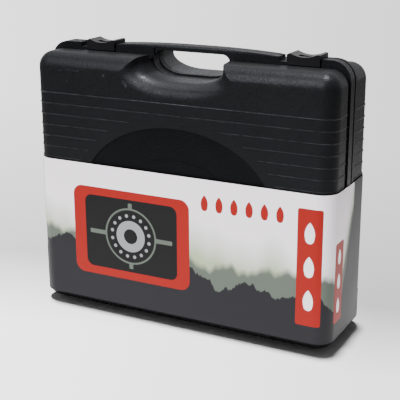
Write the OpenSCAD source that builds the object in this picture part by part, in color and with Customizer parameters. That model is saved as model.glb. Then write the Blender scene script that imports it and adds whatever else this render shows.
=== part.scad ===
// Cassette gas stove packed in its moulded carry case, with the printed card sleeve round the case.
// The case stands on its hinge edge: +X to the right, +Y to the back, +Z up.
// The two shells meet on the plane y = 0, and the case stands on z = 0.

/* [Case] */
// Width of the shells, side to side
case_w = 370; // [340:1:400]
// Depth of the closed case, front face to rear face
case_d = 108; // [104:1:120]
// Top of the shells above the ground
shell_top = 307; // [295:1:320]
// Bottom of the shells above the ground
shell_bottom = 5; // [5:0.5:8]
// Wall thickness of the double-skinned shells
wall = 5; // [4:0.5:6]
// Radius of the shells' outer edges
edge_r = 18; // [12:1:22]
// Radius of the shells' bottom edges
bottom_r = 12; // [8:1:16]
// How far the rim stands proud of the shells at the sides
rim_proud = 1; // [0.5:0.5:2]
// Top of the rim above the ground
rim_top = 315; // [312:1:320]
// Thickness of the front shell's rim
front_rim = 13; // [11:0.5:16]
// Thickness of the rear shell's rim
rear_rim = 6; // [5:0.5:8]
// Gap between the closed shells
parting_gap = 1; // [0.6:0.1:1.4]
// Width of the groove between the front shell's body and its rim
groove_w = 6; // [4:0.5:8]
// Depth of that groove
groove_d = 3.5; // [2:0.5:4]

/* [Ribs and oval] */
// Height of the top rib
rib_first_z = 261; // [255:1:265]
// Distance from rib to rib
rib_pitch = 12.8; // [12:0.1:14]
// Number of ribs on each shell
rib_count = 19; // [10:1:19]
// How far a rib stands out
rib_proud = 0.7; // [0.5:0.1:1.2]
// Height of a rib
rib_h = 1.8; // [1.6:0.1:2.4]
// Gap between the ribs' ends and the oval panel
rib_gap = 11.5; // [8:0.5:14]
// Half-width of the oval panel
oval_a = 119; // [110:1:130]
// Half-height of the oval panel
oval_b = 84; // [70:1:90]
// Height of the oval's centre
oval_z = 150; // [145:1:155]

/* [Handle] */
// Half-width of the finger hole at the rim
hole_half_w = 47; // [42:1:52]
// Floor of the finger hole in the front shell
hole_floor = 283; // [281:0.5:285]
// How much higher that floor is in the rear shell
floor_step = 2; // [0:0.5:3]
// Corner radius under the bar's ends
hole_r = 9; // [4:1:10]
// Underside of the handle bar
bar_under = 312; // [309:0.5:313]
// Top of the handle bar at its middle
bar_top = 318.5; // [317:0.5:321]
// Depth of the bar in front of the parting plane
bar_front = 11; // [9:1:14]
// Depth of the bar behind the parting plane
bar_rear = 9; // [7:1:12]

/* [Latches] */
// Distance from the case's centre to the middle of a latch's travel
latch_x = 125; // [115:1:130]
// How far both sliders rest to the right of that
latch_shift = 8.5; // [7:0.5:9]
// Length of a latch slider
latch_len = 37; // [32:1:40]
// Travel of a latch slider
latch_travel = 8; // [6:1:9]

/* [Sleeve] */
// Bottom edge of the card sleeve
sleeve_z = 14; // [12:1:20]
// Height of the card sleeve
sleeve_h = 168; // [150:1:180]
// Thickness of the card
card_t = 0.6; // [0.4:0.1:1]
// Slack between the card and the case
card_gap = 0.2; // [0.1:0.1:0.5]

/* [Stove] */
// Width of the stove's body
stove_w = 340; // [330:1:344]
// Depth of the stove's body, front to back
stove_d = 250; // [244:1:256]
// Height of the body's flat top above the feet
stove_top = 66; // [62:1:68]
// Height of the raised gas side above the feet
gas_side_top = 80; // [78:1:82]
// Thickness of the pressed steel sheet
sheet_t = 1.2; // [0.8:0.1:1.5]
// Diameter of the gas cartridge that the stove takes
cartridge_d = 68; // [66:1:70]

/* [Hidden] */

$fn = 48;
fit_gap = 0.3;            // clearance between pieces that only pass each other
run_gap = 0.05;           // radial clearance of a pin in its bore
half_w = case_w / 2;
half_d = case_d / 2;
rim_half_w = half_w + rim_proud;
rim_r = 22;               // corner radius of the rim
rim_bottom = 4.2;         // underside of the rim
shadow_w = 1.8;           // depth of the shadow gap round each rim's edge
half_gap = parting_gap / 2;
cavity_bottom = shell_bottom + wall;
cavity_top = shell_top - wall;
lip_top = 271.5;                   // top of the room behind the front scoop's lip
hinge_z = 4;              // height of the hinge axis
knuckle_r = 4;
pin_r = 1.5;
hinge_x = 110;            // hinge centres left and right of the middle
knuckle_w = 16;
well_floor = half_d - wall;

// stove placed in the case: its top faces the front shell and its knob end the hinge
stove_y = well_floor - 0.05;
stove_z = 145;
front_y = -stove_d / 2 + 6;   // the body's front in the stove's own frame
back_y = stove_d / 2 + 6;
body_foot = 5;                // underside of the body above the feet's soles
corner_r = 20;
bay_left = 86;                // left edge of the gas side
burner_x = -44;
burner_y = 6;
tray_half_w = 116;
tray_half_d = 114;
cartridge_x = 128;
cartridge_z = body_foot + sheet_t + 2.5 + cartridge_d / 2;
regulator_front = front_y + 15;
regulator_back = front_y + 53;
knob_z = 43;
cover_axis_x = stove_w / 2 + 1.6;
cover_axis_z = 44;
cover_front = front_y + 61;

// points of an arc in the plane, from angle a0 to a1
function arc(cx, cy, r, a0, a1, n = 8) =
    [for (i = [0:n]) [cx + r * cos(a0 + (a1 - a0) * i / n), cy + r * sin(a0 + (a1 - a0) * i / n)]];

// outline of a rectangle with round corners
function round_rect(x0, y0, x1, y1, r, n = 8) = concat(
    arc(x1 - r, y0 + r, r, -90, 0, n), arc(x1 - r, y1 - r, r, 0, 90, n),
    arc(x0 + r, y1 - r, r, 90, 180, n), arc(x0 + r, y0 + r, r, 180, 270, n));

// extrudes an X-Z outline along +Y from y0 to y1
module slab_y(points, y0, y1) {
    translate([0, y1, 0]) rotate([90, 0, 0]) linear_extrude(height = y1 - y0) polygon(points);
}

module box(p0, p1) {
    translate(p0) cube(p1 - p0);
}

module rod_x(x0, x1, y, z, r) {
    translate([x0, y, z]) rotate([0, 90, 0]) cylinder(r = r, h = x1 - x0);
}

module rod_y(x, y0, y1, z, r) {
    translate([x, y1, z]) rotate([90, 0, 0]) cylinder(r = r, h = y1 - y0);
}

// puts the stove, built standing on its feet, into the case
module in_case() {
    translate([0, stove_y, stove_z]) rotate([90, 0, 0]) children();
}

// ---------- carry case ----------

// outward reach of a shell's edge from its corner axis, at each height from bottom to top
function edge_profile(inset) = let (r = edge_r - inset, b = bottom_r - inset) concat(
    arc(r - b, shell_bottom + inset + b, b, 270, 360), arc(0, shell_top - inset - r, r, 0, 90));

// one shell's skin, facing -Y, grown inwards by inset: ends, face, and a turned corner at each side
module shell_form(inset, y_open) {
    wrapped(edge_profile(inset), y_open);
}

// an edge profile carried along one end, round the corner, along the face and back on the other end
module wrapped(profile, y_open) {
    low = profile[0][1];
    top = profile[len(profile) - 1][1];
    cx = half_w - edge_r;
    cy = -half_d + edge_r;
    slab_y(concat([for (p = profile) [cx + p[0], p[1]]],
        [for (i = [len(profile) - 1:-1:0]) [-cx - profile[i][0], profile[i][1]]]), cy, y_open);
    rotate([90, 0, 90]) translate([0, 0, -cx]) linear_extrude(height = 2 * cx)
        polygon(concat([[y_open, top], [y_open, low]], [for (p = profile) [cy - p[0], p[1]]]));
    for (sx = [-1, 1])
        translate([sx * cx, cy, 0]) rotate([0, 0, sx > 0 ? 270 : 180])
            rotate_extrude(angle = 90) polygon(concat([[0, low]], profile));
}

// profile of all the ribs from bottom to top: ridges with sloping sides, rooted in the skin
rib_low = rib_first_z - (rib_count - 1) * rib_pitch;
rib_root = edge_r - 1;
rib_slope = (rib_h / 2 - 0.2) / rib_proud;
rib_profile = concat([[rib_root, rib_low - 4]],
    [for (i = [rib_count - 1:-1:0], p = [[-1, 0], [-1, 1], [1, 1], [1, 0]])
        let (z = rib_first_z - i * rib_pitch)
        p[1] > 0 ? [edge_r + rib_proud, z + 0.2 * p[0]]
            : [rib_root, z + p[0] * (0.2 + rib_slope * (rib_proud + 1))]],
    [[rib_root, rib_first_z + 4], [0, rib_first_z + 4]]);

module ribs(y_open) {
    difference() {
        wrapped(rib_profile, y_open);
        oval(oval_a + rib_gap, oval_b + rib_gap, -half_d - 2, -half_d);
    }
}

module oval(a, b, y0, y1) {
    slab_y([for (t = [0:5:355]) [a * cos(t), oval_z + b * sin(t)]], y0, y1);
}

// room for the stove inside one shell: it stops under the finger hole and behind the scoop's lip
module shell_cavity(floor_z, lip_z) {
    difference() {
        shell_form(wall, 1);
        slab_y([[-72, floor_z - 6], [72, floor_z - 6], [90, shell_top], [-90, shell_top]], -half_d, 2);
        slab_y([[-72, lip_z], [72, lip_z], [72, floor_z], [-72, floor_z]], -half_d, -24);
    }
}

// lower corner of a bowl-shaped outline, a quarter of an ellipse
function bowl_corner(cx, cz, rx, rz, a0, a1) =
    [for (i = [0:9]) let (t = a0 + (a1 - a0) * i / 9) [cx + rx * cos(t), cz + rz * sin(t)]];

// finger hole through one rim
hole_rx = 30;
hole_rz = 17;
function hole_outline(floor_z) = concat(
    bowl_corner(hole_half_w - hole_rx, floor_z + hole_rz, hole_rx, hole_rz, 270, 360),
    arc(hole_half_w - hole_r, bar_under - hole_r, hole_r, 0, 90, 6),
    arc(-hole_half_w + hole_r, bar_under - hole_r, hole_r, 90, 180, 6),
    bowl_corner(-hole_half_w + hole_rx, floor_z + hole_rz, hole_rx, hole_rz, 180, 270));

// U-shaped scoop that widens towards the shell's face
function scoop_outline(half, floor_z, rx, rz) = concat(
    bowl_corner(half - rx, floor_z + rz, rx, rz, 270, 360), [[half, shell_top + 20], [-half, shell_top + 20]],
    bowl_corner(-half + rx, floor_z + rz, rx, rz, 180, 270));

// skin through rings of equal length, each ring an X-Z outline at its own y
module loft(rings, ys) {
    n = len(rings[0]);
    last = len(rings) - 1;
    polyhedron(
        points = [for (k = [0:last], p = rings[k]) [p[0], ys[k], p[1]]],
        faces = concat([[for (i = [0:n - 1]) i]], [[for (i = [n - 1:-1:0]) last * n + i]],
            [for (k = [0:last - 1], i = [0:n - 1]) let (j = (i + 1) % n) [k * n + i, (k + 1) * n + i, k * n + j]],
            [for (k = [0:last - 1], i = [0:n - 1]) let (j = (i + 1) % n) [k * n + j, (k + 1) * n + i, (k + 1) * n + j]]));
}

// scoop in front of the hole: a level floor, then a lip that rolls over to the shell's face
module scoop(rim_t, floor_z, bend) {
    face = -half_d;
    steps = [10:80 / 6:90];
    widen = concat([0, 4], [for (a = steps) 4 + bend * (1 - cos(a))], [4 + bend]);
    fall = concat([0, 0], [for (a = steps) bend * (1 - cos(a))], [bend]);
    ys = concat([-rim_t + 0.2, face + bend], [for (a = steps) face + bend * (1 - sin(a))], [face - 3]);
    loft([for (k = [0:len(ys) - 1]) scoop_outline(hole_half_w + 2 + widen[k], floor_z - fall[k],
        32 + 2.4 * min(widen[k], 4) + fall[k], hole_rz + 0.5 * fall[k])], ys);
}

// rim plate with the handle's arched top, in the plane of the rim
bar_rise = bar_top - rim_top;
bar_span = 100;
bar_arc_r = (bar_span * bar_span + bar_rise * bar_rise) / (2 * bar_rise);
bar_arc_a = asin(bar_span / bar_arc_r);
handle_outline = concat(
    arc(0, bar_top - bar_arc_r, bar_arc_r, 90 - bar_arc_a, 90 + bar_arc_a, 16),
    [[-bar_span, rim_top - 8], [-hole_half_w - 8, hole_floor + 6], [hole_half_w + 8, hole_floor + 6],
     [bar_span, rim_top - 8]]);

// outline of the rim, drawn in by o
rim_foot_r = 13;
function rim_outline(o) = let (x = rim_half_w - o, r = rim_r - o, f = rim_foot_r - o,
    z0 = rim_bottom + o, z1 = rim_top - o) concat(
    arc(x - f, z0 + f, f, -90, 0), arc(x - r, z1 - r, r, 0, 90),
    arc(-x + r, z1 - r, r, 90, 180), arc(-x + f, z0 + f, f, 180, 270));

// cuts everything outside an outline between two depths
module trim_outside(points, y0, y1) {
    difference() {
        box([-half_w - 10, y0, -10], [half_w + 10, y1, rim_top + 10]);
        slab_y(points, y0 - 1, y1 + 1);
    }
}

// handle bar over the hole, with its long edges rounded
module handle_half(depth, floor_z) {
    r = 3;
    intersection() {
        difference() {
            slab_y(handle_outline, -depth, -half_gap);
            slab_y(hole_outline(floor_z), -depth - 1, 1);
        }
        rotate([90, 0, 90]) translate([0, 0, -bar_span - 1]) linear_extrude(height = 2 * bar_span + 2)
            polygon(concat([[-half_gap, hole_floor], [-half_gap, bar_top]],
                arc(-depth + r, bar_top - r, r, 90, 180, 5), [[-depth, hole_floor]]));
    }
}

// clearance for the other shell's knuckle, and this shell's own knuckles, at one hinge
module knuckle_pocket(x0, x1) {
    rod_x(x0, x1, 0, hinge_z, knuckle_r + 0.5);
    box([x0, -knuckle_r - 0.5, -1], [x1, knuckle_r + 0.5, hinge_z]);
    box([x0, -8, -1], [x1, 8, hinge_z + 0.5]);
}

module knuckle(x0, x1, side) {
    difference() {
        union() {
            rod_x(x0, x1, 0, hinge_z, knuckle_r);
            box([x0, side > 0 ? 0.6 : -9, hinge_z], [x1, side > 0 ? 9 : -0.6, cavity_bottom]);
        }
        rod_x(x0 - 1, x1 + 1, 0, hinge_z, pin_r + run_gap);
    }
}

module foot(x, side) {
    box([x - 14, side > 0 ? 22 : -30, 0], [x + 14, side > 0 ? 36 : -18, shell_bottom + 3]);
}

// what both shells share, built facing -Y
module shell_blank(rim_t, bar_depth, floor_z, lip_z, bend) {
    difference() {
        union() {
            shell_form(0, -half_gap);
            slab_y(rim_outline(0), -rim_t, -half_gap);
            ribs(-rim_t + 0.5);
        }
        shell_cavity(floor_z, lip_z);
        scoop(rim_t, floor_z, bend);
        slab_y(hole_outline(floor_z), -rim_t - 0.2, 2);
        slab_y(scoop_outline(hole_half_w, bar_under - 8, 2, 2), -rim_t - 1, 2);
        trim_outside(rim_outline(2.5), -shadow_w, 1);
    }
    handle_half(bar_depth, floor_z);
}

// where the latches run on the rim: a stop, then a lowered track
module latch_track(cx, y0, y1) {
    box([cx - latch_len / 2 - latch_travel - 2, y0, rim_top - 5], [cx + latch_len / 2 + 1, y1, rim_top + 6]);
}

latch_signs = [-1, 1];

module case_front_shell() {
    color("#232325") difference() {
        union() {
            difference() {
                shell_blank(front_rim, bar_front, hole_floor, lip_top, edge_r);
                oval(oval_a, oval_b, -half_d - 3, -half_d + 1.6);
                trim_outside(round_rect(-half_w + groove_d, shell_bottom + groove_d, half_w - groove_d,
                    shell_top - groove_d, edge_r - groove_d), -front_rim - groove_w, -front_rim);
                for (sx = latch_signs) {
                    latch_track(sx * latch_x + latch_shift, -front_rim - 1, 1);
                    knuckle_pocket(sx * hinge_x - 1.5 * knuckle_w - 0.5, sx * hinge_x - 0.5 * knuckle_w + 0.3);
                    knuckle_pocket(sx * hinge_x + 0.5 * knuckle_w - 0.3, sx * hinge_x + 1.5 * knuckle_w + 0.5);
                }
            }
            oval_step();
            for (sx = latch_signs) {
                knuckle(sx * hinge_x - knuckle_w / 2, sx * hinge_x + knuckle_w / 2, -1);
                foot(sx * 60, -1);
            }
        }
        for (sx = latch_signs)
            rod_x(sx * hinge_x - 30, sx * hinge_x + 30, 0, hinge_z, pin_r + run_gap);
    }
}

// faint inner oval of the front panel, raised from the sunk one
module oval_step() {
    difference() {
        oval(oval_a - 46, oval_b - 36, -half_d + 1, -half_d + 1.7);
        oval(oval_a - 47.5, oval_b - 37.5, -half_d, -half_d + 2);
    }
}

module case_rear_shell() {
    color("#232325") difference() {
        union() {
            difference() {
                mirror([0, 1, 0])
                    shell_blank(rear_rim, bar_rear, hole_floor + floor_step, hole_floor + floor_step - 6, 14);
                for (sx = latch_signs) {
                    latch_track(sx * latch_x + latch_shift, -1, bar_rear + 1);
                    box([sx * latch_x + latch_shift - 6, -1, shell_top],
                        [sx * latch_x + latch_shift + 6, rear_rim + 4, rim_top]);
                    knuckle_pocket(sx * hinge_x - knuckle_w / 2 - 0.3, sx * hinge_x + knuckle_w / 2 + 0.3);
                }
            }
            for (sx = latch_signs, side = [-1, 1])
                knuckle(sx * hinge_x + side * knuckle_w - knuckle_w / 2 + 0.3,
                    sx * hinge_x + side * knuckle_w + knuckle_w / 2 - 0.3, 1);
            for (sx = latch_signs) {
                foot(sx * 150, 1);
                for (z = [60, 220])
                    box([sx > 0 ? 171 : -half_w + wall - 1, 10, z], [sx > 0 ? half_w - wall + 1 : -171, 34, z + 16]);
            }
            for (x = [-150, -40, 40])
                box([x, 12, cavity_bottom - 1], [x + 40, well_floor + 1, stove_z + front_y]);
        }
        for (sx = latch_signs)
            rod_x(sx * hinge_x - 30, sx * hinge_x + 30, 0, hinge_z, pin_r + run_gap);
    }
}

module hinge_pins() {
    color("silver") for (sx = latch_signs)
        rod_x(sx * hinge_x - 1.5 * knuckle_w, sx * hinge_x + 1.5 * knuckle_w, 0, hinge_z, pin_r);
}

// sliding catch: a thumb saddle over the rims, a guide leg in front and a hook leg behind
module latch(cx) {
    base_z = rim_top - 5 + fit_gap;
    top_z = rim_top + 4.7;
    leg_z = shell_top + 0.4;
    saddle = concat([[-latch_len / 2, base_z], [-latch_len / 2, top_z - 1.5]],
        [for (i = [0:10]) let (u = -1 + i / 5) [u * (latch_len / 2 - 3), top_z - 3.6 * (1 - u * u)]],
        [[latch_len / 2, top_z - 0.5], [latch_len / 2, base_z]]);
    color("#1a1a1c") translate([cx + latch_shift, 0, 0]) difference() {
        union() {
            slab_y(saddle, -front_rim - 2.4, rear_rim + 3);
            box([-latch_len / 2, -front_rim - 2.4, leg_z], [latch_len / 2, -front_rim - fit_gap, base_z + 1]);
            box([-5, rear_rim + fit_gap, leg_z], [5, rear_rim + 3, base_z + 1]);
        }
        box([-8, -front_rim + 3, rim_top - 0.8], [6, -2, top_z]);
    }
}

module latch_left() { latch(-latch_x); }
module latch_right() { latch(latch_x); }

// ---------- card sleeve ----------

// half outline of the card loop, grown by o, from the left parting line round the face to the right one
function card_path(o) = let (r = edge_r + rib_proud + card_gap + o, cx = half_w - edge_r, cy = -half_d + edge_r,
    rx = rim_half_w + card_gap + o) concat(
    [[-rx, -0.1], [-rx, -front_rim - 0.4]], arc(-cx, cy, r, 184, 270), arc(cx, cy, r, 270, 356),
    [[rx, -front_rim - 0.4], [rx, -0.1]]);

module sleeve_half() {
    outer = card_path(card_t);
    inner = card_path(0);
    translate([0, 0, sleeve_z]) linear_extrude(height = sleeve_h)
        polygon(concat(outer, [for (i = [len(inner) - 1:-1:0]) inner[i]]));
}

module sleeve_front() { color("#dcd8dd") sleeve_half(); }
module sleeve_rear() { color("#dcd8dd") mirror([0, 1, 0]) sleeve_half(); }

// ---------- stove ----------

// block with outline_xz seen from the front, outline_yz from the side and outline_xy from above
module three_views(outline_xz, outline_yz, outline_xy) {
    reach = case_w;
    intersection() {
        slab_y(outline_xz, -reach, reach);
        rotate([90, 0, 90]) translate([0, 0, -reach]) linear_extrude(height = 2 * reach) polygon(outline_yz);
        translate([0, 0, -reach]) linear_extrude(height = 2 * reach) polygon(outline_xy);
    }
}

// outline of the body's section between two sides, with round shoulders, inset from its full size
function shoulder_outline(low, high, inset, r) = concat([[low + inset, body_foot - inset], [high - inset, body_foot - inset]],
    arc(high - r, stove_top - r, r - inset, 0, 90), arc(low + r, stove_top - r, r - inset, 90, 180));

module body_form(inset) {
    three_views(shoulder_outline(-stove_w / 2, stove_w / 2, inset, 6), shoulder_outline(front_y, back_y, inset, 6),
        round_rect(-stove_w / 2 + inset, front_y + inset, stove_w / 2 - inset, back_y - inset, corner_r - inset));
}

module stove_body() {
    color("#b5484a") in_case() difference() {
        body_form(0);
        body_form(sheet_t);
        translate([0, 0, stove_top - 8]) linear_extrude(height = 10)
            polygon(round_rect(burner_x - tray_half_w + 3, burner_y - tray_half_d + 3,
                burner_x + tray_half_w - 3, burner_y + tray_half_d - 3, 14));
        box([bay_left, cover_front - 3, 40], [stove_w / 2 + 1, back_y - 3, stove_top + 2]);
        box([bay_left - 2, front_y - 1, body_foot + 3], [stove_w / 2 + 1, cover_front - 3, stove_top + 2]);
        for (i = [-4:4]) rod_y(burner_x + i * 18, back_y - 4, back_y + 4, 24, 4);
        for (i = [-4:4]) rod_x(-stove_w / 2 - 4, -stove_w / 2 + 4, burner_y + i * 18, 24, 4);
    }
}

foot_spots = [[-145, front_y + 22], [145, front_y + 22], [-145, back_y - 22], [145, back_y - 22]];
screw_spots = concat([for (x = [-110, -20, 70], y = [front_y + 12, back_y - 12]) [x, y]],
    [for (sx = [-1, 1]) [sx * 160, 6]]);

module base_plate() {
    color("#8a8c8e") in_case() difference() {
        translate([0, 0, body_foot]) linear_extrude(height = sheet_t)
            polygon(round_rect(-stove_w / 2 + sheet_t + 0.1, front_y + sheet_t + 0.1, stove_w / 2 - sheet_t - 0.1,
                back_y - sheet_t - 0.1, corner_r - sheet_t));
        for (p = foot_spots) translate([p[0], p[1], 0]) cylinder(r = 3.1, h = 10);
        for (p = screw_spots) translate([p[0], p[1], 0]) cylinder(r = 1.6, h = 10);
        for (i = [-3:3]) translate([burner_x + i * 20, burner_y, 0])
            box([-3, -50, 0], [3, 50, 10]);
    }
}

module rubber_feet() {
    color("#1c1c1c") in_case() for (p = foot_spots) translate([p[0], p[1], 0])
        rotate_extrude() polygon([[0, 0], [8, 0], [9, 1], [8.4, body_foot], [3, body_foot], [3, body_foot + sheet_t],
            [4.4, body_foot + sheet_t], [3.4, body_foot + sheet_t + 2.6], [0, body_foot + sheet_t + 2.6]]);
}

module base_screws() {
    color("silver") in_case() for (p = screw_spots) translate([p[0], p[1], 0])
        rotate_extrude() polygon([[0, body_foot - 2], [2.4, body_foot - 2], [3.2, body_foot - 0.6], [3.2, body_foot],
            [1.5, body_foot], [1.5, body_foot + 6], [0, body_foot + 6]]);
}

module heat_shield() {
    shield_z = body_foot + sheet_t;
    color("#a6a8aa") in_case() difference() {
        union() {
            box([bay_left - 6, front_y + 4, shield_z], [bay_left - 6 + sheet_t, back_y - 8, stove_top - 7]);
            box([bay_left - 14, cover_front, shield_z], [bay_left - 6 + sheet_t, back_y - 8, shield_z + sheet_t]);
        }
        rod_x(bay_left - 10, bay_left, regulator_front + 12, 32, 21);
        for (y = [30, 70, 110]) box([bay_left - 8, y - 12, 30], [bay_left, y + 12, 36]);
    }
}

// pressed tray, turned upside down for carrying, so its dish points up and its arms down
module drip_tray() {
    rim_z = stove_top + 0.2;
    dish_z = rim_z + 10;
    color("#1f1f21") in_case() difference() {
        union() {
            translate([0, 0, rim_z]) linear_extrude(height = sheet_t) difference() {
                polygon(round_rect(burner_x - tray_half_w, burner_y - tray_half_d,
                    burner_x + tray_half_w, burner_y + tray_half_d, 16));
                translate([burner_x, burner_y]) circle(r = 97);
            }
            translate([burner_x, burner_y, 0]) rotate_extrude($fn = 72) polygon([
                [100, rim_z], [100, rim_z + sheet_t], [95, rim_z + sheet_t], [87, dish_z + sheet_t],
                [54, dish_z + sheet_t], [50, dish_z + 4], [48.8, dish_z + 4], [52.8, dish_z], [86, dish_z], [94, rim_z]]);
        }
        for (sx = [-1, 1], sy = [-1, 1])
            translate([burner_x + sx * 100, burner_y + sy * 98, rim_z - 1]) cylinder(r = 3, h = 4);
    }
}

module pan_support_arms() {
    top = stove_top + 10.18;
    color("#1f1f21") in_case() translate([burner_x, burner_y, 0]) for (a = [45:90:315]) rotate([0, 0, a]) {
        rotate([90, 0, 0]) translate([0, 0, -1.2]) linear_extrude(height = 2.4)
            polygon([[56, top], [56, top - 8], [60, top - 24], [66, top - 27], [78, top - 25], [83, top - 10], [83, top]]);
        box([56, -1.2, top - 1.4], [83, 8, top]);
    }
}

// ---------- burner ----------

module burner_head() {
    color("#b9bbbd") in_case() translate([burner_x, burner_y, 0]) difference() {
        rotate_extrude($fn = 64) polygon([[0, 18], [16, 18], [20, 24], [20, 40], [38, 48], [44, 50], [44, 60],
            [38, 60], [36, 54], [14, 44], [14, 26], [0, 26]]);
        for (a = [0:15:345]) rotate([0, 0, a]) rod_x(34, 48, 0, 57, 1.6, $fn = 16);
        rotate([0, 0, tube_angle]) rod_x(10, 24, 0, tube_z, 9.1);
    }
}

module burner_cap() {
    color("#d2d3d4") in_case() translate([burner_x, burner_y, 0]) difference() {
        rotate_extrude($fn = 64) polygon([[9, 62.5], [30, 62.5], [41, 60], [44, 60], [44, 61.6], [31, 66], [20, 66.6],
            [12, 64.4], [9, 64.4]]);
        for (a = [0:30:330]) rotate([0, 0, a]) box([16, -1.2, 60], [34, 1.2, 70]);
    }
}

piezo_x = 105;
tube_z = 32;
tube_end = [66, regulator_front + 16];
tube_run = [tube_end[0] - burner_x, tube_end[1] - burner_y];
tube_len = norm(tube_run);
tube_angle = atan2(tube_run[1], tube_run[0]);

module along_tube() {
    translate([burner_x, burner_y, tube_z]) rotate([0, 0, tube_angle]) rotate([0, 90, 0]) children();
}

// venturi tube from the air inlet to the burner
module mixing_tube() {
    color("#c4c5c6") in_case() along_tube() difference() {
        rotate_extrude() polygon([[7.2, 20.5], [9, 20.5], [9, tube_len - 34], [8, tube_len - 28], [11.5, tube_len - 2],
            [11.5, tube_len], [10, tube_len], [6.6, tube_len - 28], [7.2, tube_len - 34]]);
        for (a = [0, 180]) rotate([0, 0, a]) translate([6, -4, tube_len - 16]) cube([8, 8, 9]);
    }
}

module burner_bracket() {
    foot_z = body_foot + sheet_t;
    color("#a6a8aa") in_case() translate([burner_x, burner_y, 0]) difference() {
        union() {
            box([-46, -9, foot_z], [46, 9, foot_z + sheet_t]);
            for (s = [-1, 1]) {
                box([s > 0 ? 46 - sheet_t : -46, -9, foot_z], [s > 0 ? 46 : -46 + sheet_t, 9, 46]);
            }
            difference() {
                box([-46, -9, 46 - sheet_t], [46, 9, 46]);
                cylinder(r = 37, h = 60);
            }
            box([-46, -9, 16.8], [46, 9, 18]);
            box([40, -29, 46 - sheet_t], [56, -8, 46]);
        }
        for (s = [-1, 1]) translate([s * 10, 0, 0]) cylinder(r = 1.6, h = 20);
        translate([spark_at[0] - burner_x, spark_at[1] - burner_y, 40]) cylinder(r = 3 + run_gap, h = 10);
    }
}

module burner_screws() {
    color("silver") in_case() translate([burner_x, burner_y, 0]) for (s = [-1, 1]) translate([s * 10, 0, 0])
        rotate_extrude() polygon([[0, 14.6], [3, 14.6], [3, 16.8], [1.5, 16.8], [1.5, 18], [0, 18]]);
}

module injector_jet() {
    color("#c8a24a") in_case() along_tube() difference() {
        union() {
            translate([0, 0, tube_len - 6]) cylinder(r1 = 2.4, r2 = 4, h = 6);
            translate([0, 0, tube_len]) cylinder(r = 5.5, h = 8, $fn = 6);
        }
        translate([0, 0, tube_len - 7]) cylinder(r = 0.5, h = 16, $fn = 16);
    }
}

// brass pipe from the regulator's side port, through an elbow into the jet
pipe_r = 3;
elbow = tube_end + 17 * [cos(tube_angle), sin(tube_angle)];

module gas_pipe() {
    color("#c8a24a") in_case() {
        along_tube() translate([0, 0, tube_len + 8]) cylinder(r = pipe_r, h = 9);
        translate([elbow[0], elbow[1], tube_z - 5]) cylinder(r = 4.5, h = 10);
        rod_x(elbow[0], cartridge_x - 14, elbow[1], tube_z, pipe_r);
    }
}

// ---------- gas side ----------

module regulator_body() {
    color("#9c9ea0") in_case() difference() {
        union() {
            rod_y(cartridge_x, regulator_front, regulator_back - 10, knob_z, 20);
            rod_y(cartridge_x, regulator_back - 10, regulator_back - 4, knob_z, 24);
            rod_y(cartridge_x, regulator_back - 4, regulator_back, knob_z, 13);
            rod_y(cartridge_x, regulator_front - 6, regulator_front, knob_z, 9);
            rod_x(cartridge_x - 21, cartridge_x - 8, elbow[1], tube_z, pipe_r + 1.6);
            for (a = [45:90:315]) rod_y(cartridge_x + 17 * cos(a), regulator_front - 3, regulator_front,
                knob_z + 17 * sin(a), 2.6);
        }
        rod_y(cartridge_x, regulator_front - 7, regulator_front + 12, knob_z, 3 + run_gap);
        rod_x(cartridge_x - 22, cartridge_x - 13.9, elbow[1], tube_z, pipe_r + run_gap);
        rod_y(cartridge_x, regulator_back - 8, regulator_back + 1, knob_z, 6);
        rod_y(cartridge_x, regulator_back - 3, regulator_back + 1, knob_z, 9);
    }
}

module regulator_seal() {
    color("#262626") in_case() translate([cartridge_x, regulator_back - 1.4, knob_z]) rotate([90, 0, 0])
        rotate_extrude() translate([7.3, 0]) circle(r = 1.3, $fn = 24);
}

module regulator_bracket() {
    foot_z = body_foot + sheet_t;
    color("#a6a8aa") in_case() difference() {
        union() {
            box([cartridge_x - 30, regulator_back - 12, foot_z], [cartridge_x + 30, regulator_back - 10, knob_z + 16]);
            box([cartridge_x - 30, regulator_back - 12, foot_z], [cartridge_x + 30, regulator_back + 2, foot_z + 1.4]);
        }
        rod_y(cartridge_x, regulator_back - 20, regulator_back, knob_z, 20.3);
    }
}

module valve_spindle() {
    color("#c8a24a") in_case() {
        rod_y(cartridge_x, front_y - 8, regulator_front + 11, knob_z, 3);
    }
}

module igniter_cam() {
    color("#d8d4c8") in_case() difference() {
        union() {
            rod_y(cartridge_x, front_y + 3.4, front_y + 8.4, knob_z, 6.4);
            box([cartridge_x - 13, front_y + 3.4, knob_z - 2.5], [cartridge_x, front_y + 8.4, knob_z + 2.5]);
        }
        rod_y(cartridge_x, front_y, front_y + 10, knob_z, 3);
    }
}

// knob with a grip bar and a row of flutes round the skirt
module control_knob() {
    face = front_y - 0.6;
    color("#151517") in_case() difference() {
        union() {
            rod_y(cartridge_x, face - 4, face, knob_z, 21);
            rod_y(cartridge_x, face - 6, face - 4, knob_z, 18.5);
            intersection() {
                translate([cartridge_x, 0, knob_z]) box([-5, face - 11.5, -19], [5, face - 4, 19]);
                rod_y(cartridge_x, face - 12, face, knob_z, 19);
            }
        }
        for (a = [0:15:345]) rod_y(cartridge_x + 22 * cos(a), face - 5, face + 1, knob_z + 22 * sin(a), 1.6, $fn = 16);
        rod_y(cartridge_x, front_y - 8, front_y, knob_z, 3);
    }
}

panel_x0 = bay_left - 1;
panel_x1 = stove_w / 2 - 0.3;
panel_y1 = cover_front - 4;

function panel_outline(inset) = concat(
    arc(panel_x1 - 18, gas_side_top - 18, 18 - inset, 0, 90), arc(panel_x0 + 8, gas_side_top - 8, 8 - inset, 90, 180, 4),
    [[panel_x0 + inset, body_foot + 3 + inset], [panel_x1 - inset, body_foot + 3 + inset]]);

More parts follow.
